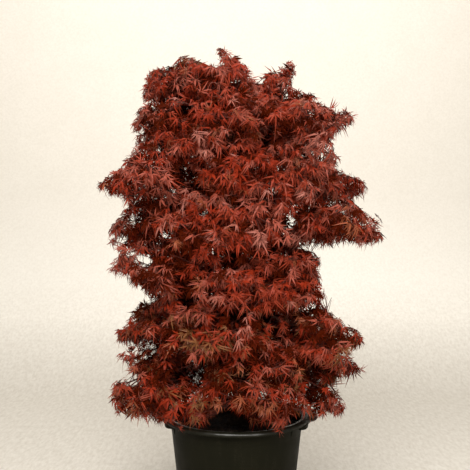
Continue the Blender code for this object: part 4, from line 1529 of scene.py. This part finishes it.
def nearest_wood(shoots, tip):
    """The best place on a shoot for a twig to leave towards a tip."""
    best = (math.inf, None, None)
    for shoot in shoots:
        for i in range(2, len(shoot.points) - 1):
            place = shoot.points[i]
            along = (shoot.points[i + 1] - place).normalized()
            far = (tip - place).length
            forward = along.dot((tip - place).normalized())
            cost = far * (1.5 - 0.5 * forward)
            if cost < best[0]:
                best = (cost, place, along)
    return best[1], best[2]


LEAF_SHAPES = 10
PLAIN_SHAPES = 3
# Each lobe's angle from the middle one in degrees, and its share of the leaf's length
LEAF_LOBES = ((-128, 0.40), (-84, 0.74), (-42, 0.94), (0, 1.0), (42, 0.94), (84, 0.74), (128, 0.40))


def leaf_shape(random, hang, spread, width, plain=False):
    """A palmate leaf of narrow pointed lobes, each with its own droop, sway and twist."""
    bm = bmesh.new()
    middle = bm.verts.new((0, 0, 0))
    for i, (angle, share) in enumerate(LEAF_LOBES):
        turn = math.radians(angle * spread + random.gauss(0, 7))
        length = share * random.uniform(0.86, 1.08)
        droop = hang * random.uniform(0.4, 1.7)
        sway = random.gauss(0, 0.0 if plain else 0.32)
        rise = random.uniform(0.0, 0.22)
        twist = random.gauss(0, 0.46)

        def place(share, across):
            out, aside = length * share, length * sway * share * share + across
            lift = rise * out - droop * out * out + across * twist
            x = math.cos(turn) * out - math.sin(turn) * aside
            y = math.sin(turn) * out + math.cos(turn) * aside
            return bm.verts.new((x, y, lift))

        wide = width * (0.70 + 0.30 * length)
        tip = place(1.0, 0.0)
        if plain or not 1 < i < 5:
            right, left = place(0.46, -wide), place(0.46, wide)
            rows = ((middle, right, left), (right, tip, left))
        else:
            right, left = place(0.34, -wide), place(0.34, wide)
            low_right, low_left = place(0.70, -wide * 0.66), place(0.70, wide * 0.66)
            rows = ((middle, right, left), (right, low_right, left))
            rows += ((low_right, low_left, left), (low_right, tip, low_left))
        for corners in rows:
            bm.faces.new(corners)
    mesh = bpy.data.meshes.new("leaf_shape")
    bm.normal_update()
    bm.to_mesh(mesh)
    bm.free()
    return mesh


def leaf_shapes():
    random = Random(SEED)
    shapes = []
    for i in range(LEAF_SHAPES):
        share = i / (LEAF_SHAPES - 1)
        rule = (0.40 + 0.85 * share, 0.96 - 0.36 * share, random.uniform(0.060, 0.072))
        shapes.append(leaf_shape(random, *rule))
    for i in range(PLAIN_SHAPES):
        shapes.append(leaf_shape(random, 0.35, 0.92 - 0.1 * i, 0.098, True))
    return [corners_and_faces(shape) for shape in shapes]


def stalk_shape():
    """A thin three-sided stalk of unit length along X, which tapers to its leaf."""
    bm = bmesh.new()
    bmesh.ops.create_cone(
        bm, cap_ends=False, segments=3, radius1=1, radius2=0, depth=1, matrix=Matrix.Translation((0, 0, 0.5))
    )
    bmesh.ops.rotate(bm, verts=bm.verts, cent=(0, 0, 0), matrix=Matrix.Rotation(math.pi / 2, 3, "Y"))
    return corners_and_faces(mesh_from(bm, "stalk_shape"))


def keep_leaves(rows):
    """Which leaves stay: those inside the crown's edge, clear of the gaps, the hollows and the pot."""
    base, lie, size = rows[:, 3:6], rows[:, 6:9], rows[:, 12]
    keep = np.ones(len(rows), bool)
    ragged = np.random.default_rng(SEED).normal(-0.002, 0.009, len(rows)).clip(-0.012, 0.010)
    for share in KEPT_POINTS:
        point = base + lie * (size * share)[:, None]
        x, z = seen(point.T)
        pull = 1 - EDGE_OVER / np.hypot(x, z - CAMERA_PLACE[2]).clip(0.05)
        keep &= within_edge(x * pull, CAMERA_PLACE[2] + (z - CAMERA_PLACE[2]) * pull)
        if share < KEPT_POINTS[-1]:
            keep &= ~within_any(SKY_GAPS, x, z, -GAP_LESS)
            keep &= ~(within_any(HOLLOWS, x, z, ragged) & (point[:, 1] < 0))
        for axis in range(2):
            keep &= point[:, axis] > CAD_LOW[axis] - BOX_OVER
            keep &= point[:, axis] < CAD_HIGH[axis] + BOX_OVER
        radius = np.hypot(point[:, 0], point[:, 1])
        keep &= ~((radius > RIM_RING[0]) & (radius < RIM_RING[1]) & (point[:, 2] < POT_HEIGHT + 0.004))
        keep &= ~((radius <= 0.165) & (point[:, 2] < SOIL_TOP + LEAF_OVER_SOIL))
    return keep


def in_clump(place):
    """Whether a leaf is in one of the groups, rather than in the small dark gaps between them."""
    turn, radius = math.atan2(place[1], place[0]), math.hypot(place[0], place[1])
    spot = Vector((turn * CLUMP_RATE[0], radius * CLUMP_RATE[1], place[2] * CLUMP_RATE[2]))
    return noise.noise(spot) > CLUMP_LEAST


def make_leaves(plant):
    colours = np.array([row[0] for row in plant.leaves])
    picks = np.array([row[1] for row in plant.leaves])
    rows = np.array([row[2:] for row in plant.leaves], np.float64)
    keep = keep_leaves(rows)
    fine = picks < LEAF_SHAPES
    keep &= ~fine | np.array([in_clump(row[3:6]) for row in rows])
    colours, picks, rows = colours[keep], picks[keep], rows[keep]
    lie, face, size = rows[:, 6:9], rows[:, 9:12], rows[:, 12]
    across = np.cross(face, lie)
    turns = np.stack((lie, across, face), axis=2) * size[:, None, None]
    shapes = leaf_shapes()
    nodes = [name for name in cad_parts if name.startswith("foliage")]
    slots = {"leaves_dark": "leaf_dark", "leaves_rust": "leaf_rust", "leaves_bronze": "leaf_rust"}
    for name in LEAF_COLOURS:
        mine = colours == name
        mesh = copies_mesh(name, shapes, picks[mine], turns[mine], rows[mine, 3:6])
        add_piece(name, mesh, name, slots.get(name, "leaf_red"), nodes, smooth=False)
        print(name, int(mine.sum()), "leaves,", len(mesh.polygons), "triangles")
    fine = picks < LEAF_SHAPES
    start, end = rows[fine, 0:3], rows[fine, 3:6]
    line = end - start
    length = np.linalg.norm(line, axis=1, keepdims=True)
    along = line / np.maximum(length, 1e-9)
    side = np.cross(along, (0.31, 0.22, 0.92))
    side /= np.maximum(np.linalg.norm(side, axis=1, keepdims=True), 1e-9)
    third = np.cross(along, side)
    turns = np.stack((line, side * STALK_RADIUS, third * STALK_RADIUS), axis=2)
    mesh = copies_mesh("leaf_stalks", [stalk_shape()], np.zeros(len(start), int), turns, start)
    add_piece("leaf_stalks", mesh, "leaf_stalk", "leaf_red", nodes, smooth=False)


def make_wood(plant):
    nodes = [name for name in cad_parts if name.startswith("foliage")]
    for name, lines, roundness in (("shoot", plant.shoots, 1), ("twig", plant.twigs, 0)):
        add_piece(f"{name}s", tubes_mesh(f"{name}s", lines, roundness), f"{name}_wood", "bark", nodes)
    print("shoots", len(plant.shoots), "twigs", len(plant.twigs))


def make_crown():
    spaces, limbs = grow_limbs()
    make_bark(limbs)
    plant = Plant()
    shoots_of = {}
    for number, space in enumerate(spaces):
        first = len(plant.shoots)
        grow_mass(plant, number, space, limbs[space.name])
        shoots_of[space.name] = plant.shoots[first:]
    grow_edge(plant, spaces, shoots_of)
    grow_lone_sprays(plant, shoots_of)
    grow_front_sprays(plant, spaces, shoots_of)
    random = Random(INNER_SEED)
    for limb in limbs.values():
        dress_inside(plant, limb, random)
    for space in spaces:
        fill_mass(plant, space, shoots_of[space.name], random)
    make_wood(plant)
    make_leaves(plant)


# Studio


def make_sweep():
    """A pale floor that bends up into a wall behind the plant."""
    bm = bmesh.new()
    ends = [bm.verts.new((x, -4.5, 0)) for x in (-5, 5)]
    line = [bm.edges.new(ends)]
    steps = (("slide", (0, 5.9, 0)), ("bend", None), ("slide", (0, 0, 3.4)))
    for kind, way in steps:
        if kind == "slide":
            made = bmesh.ops.extrude_edge_only(bm, edges=line)["geom"]
            verts = [item for item in made if isinstance(item, bmesh.types.BMVert)]
            bmesh.ops.translate(bm, verts=verts, vec=way)
            line = [item for item in made if isinstance(item, bmesh.types.BMEdge)]
        else:
            made = bmesh.ops.spin(
                bm, geom=line, cent=(0, 1.4, 1.2), axis=(1, 0, 0), angle=math.pi / 2, steps=24
            )["geom_last"]
            line = [item for item in made if isinstance(item, bmesh.types.BMEdge)]
    sweep = add_piece("studio_sweep", mesh_from(bm, "studio_sweep"), "studio_cloth")


def add_light(name, place, look_at, size, power, colour):
    light = bpy.data.lights.new(name, "AREA")
    light.shape = "RECTANGLE"
    light.size, light.size_y = size
    light.energy = power
    light.color = colour
    made = new_object(name, light)
    made.location = place
    made.rotation_euler = (Vector(look_at) - Vector(place)).to_track_quat("-Z", "Y").to_euler()


def make_studio():
    make_sweep()
    for light in LIGHTS:
        add_light(*light)
    world = bpy.data.worlds.new("studio_air")
    world.use_nodes = True
    back = world.node_tree.nodes["Background"]
    back.inputs["Color"].default_value = (*AIR_COLOUR, 1)
    back.inputs["Strength"].default_value = AIR_STRENGTH
    bpy.context.scene.world = world
    bpy.context.scene.view_settings.view_transform = "Standard"


def make_camera():
    lens = bpy.data.cameras.new("camera")
    lens.lens = CAMERA_LENS
    lens.sensor_width = 36
    camera = new_object("camera", lens)
    camera.location = CAMERA_PLACE
    camera.rotation_euler = (math.pi / 2, 0, 0)
    bpy.context.scene.camera = camera


cad_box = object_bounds()
CAD_LOW, CAD_HIGH = cad_box
make_camera()
make_materials()
make_studio()
make_pot()
make_compost()
make_crown()
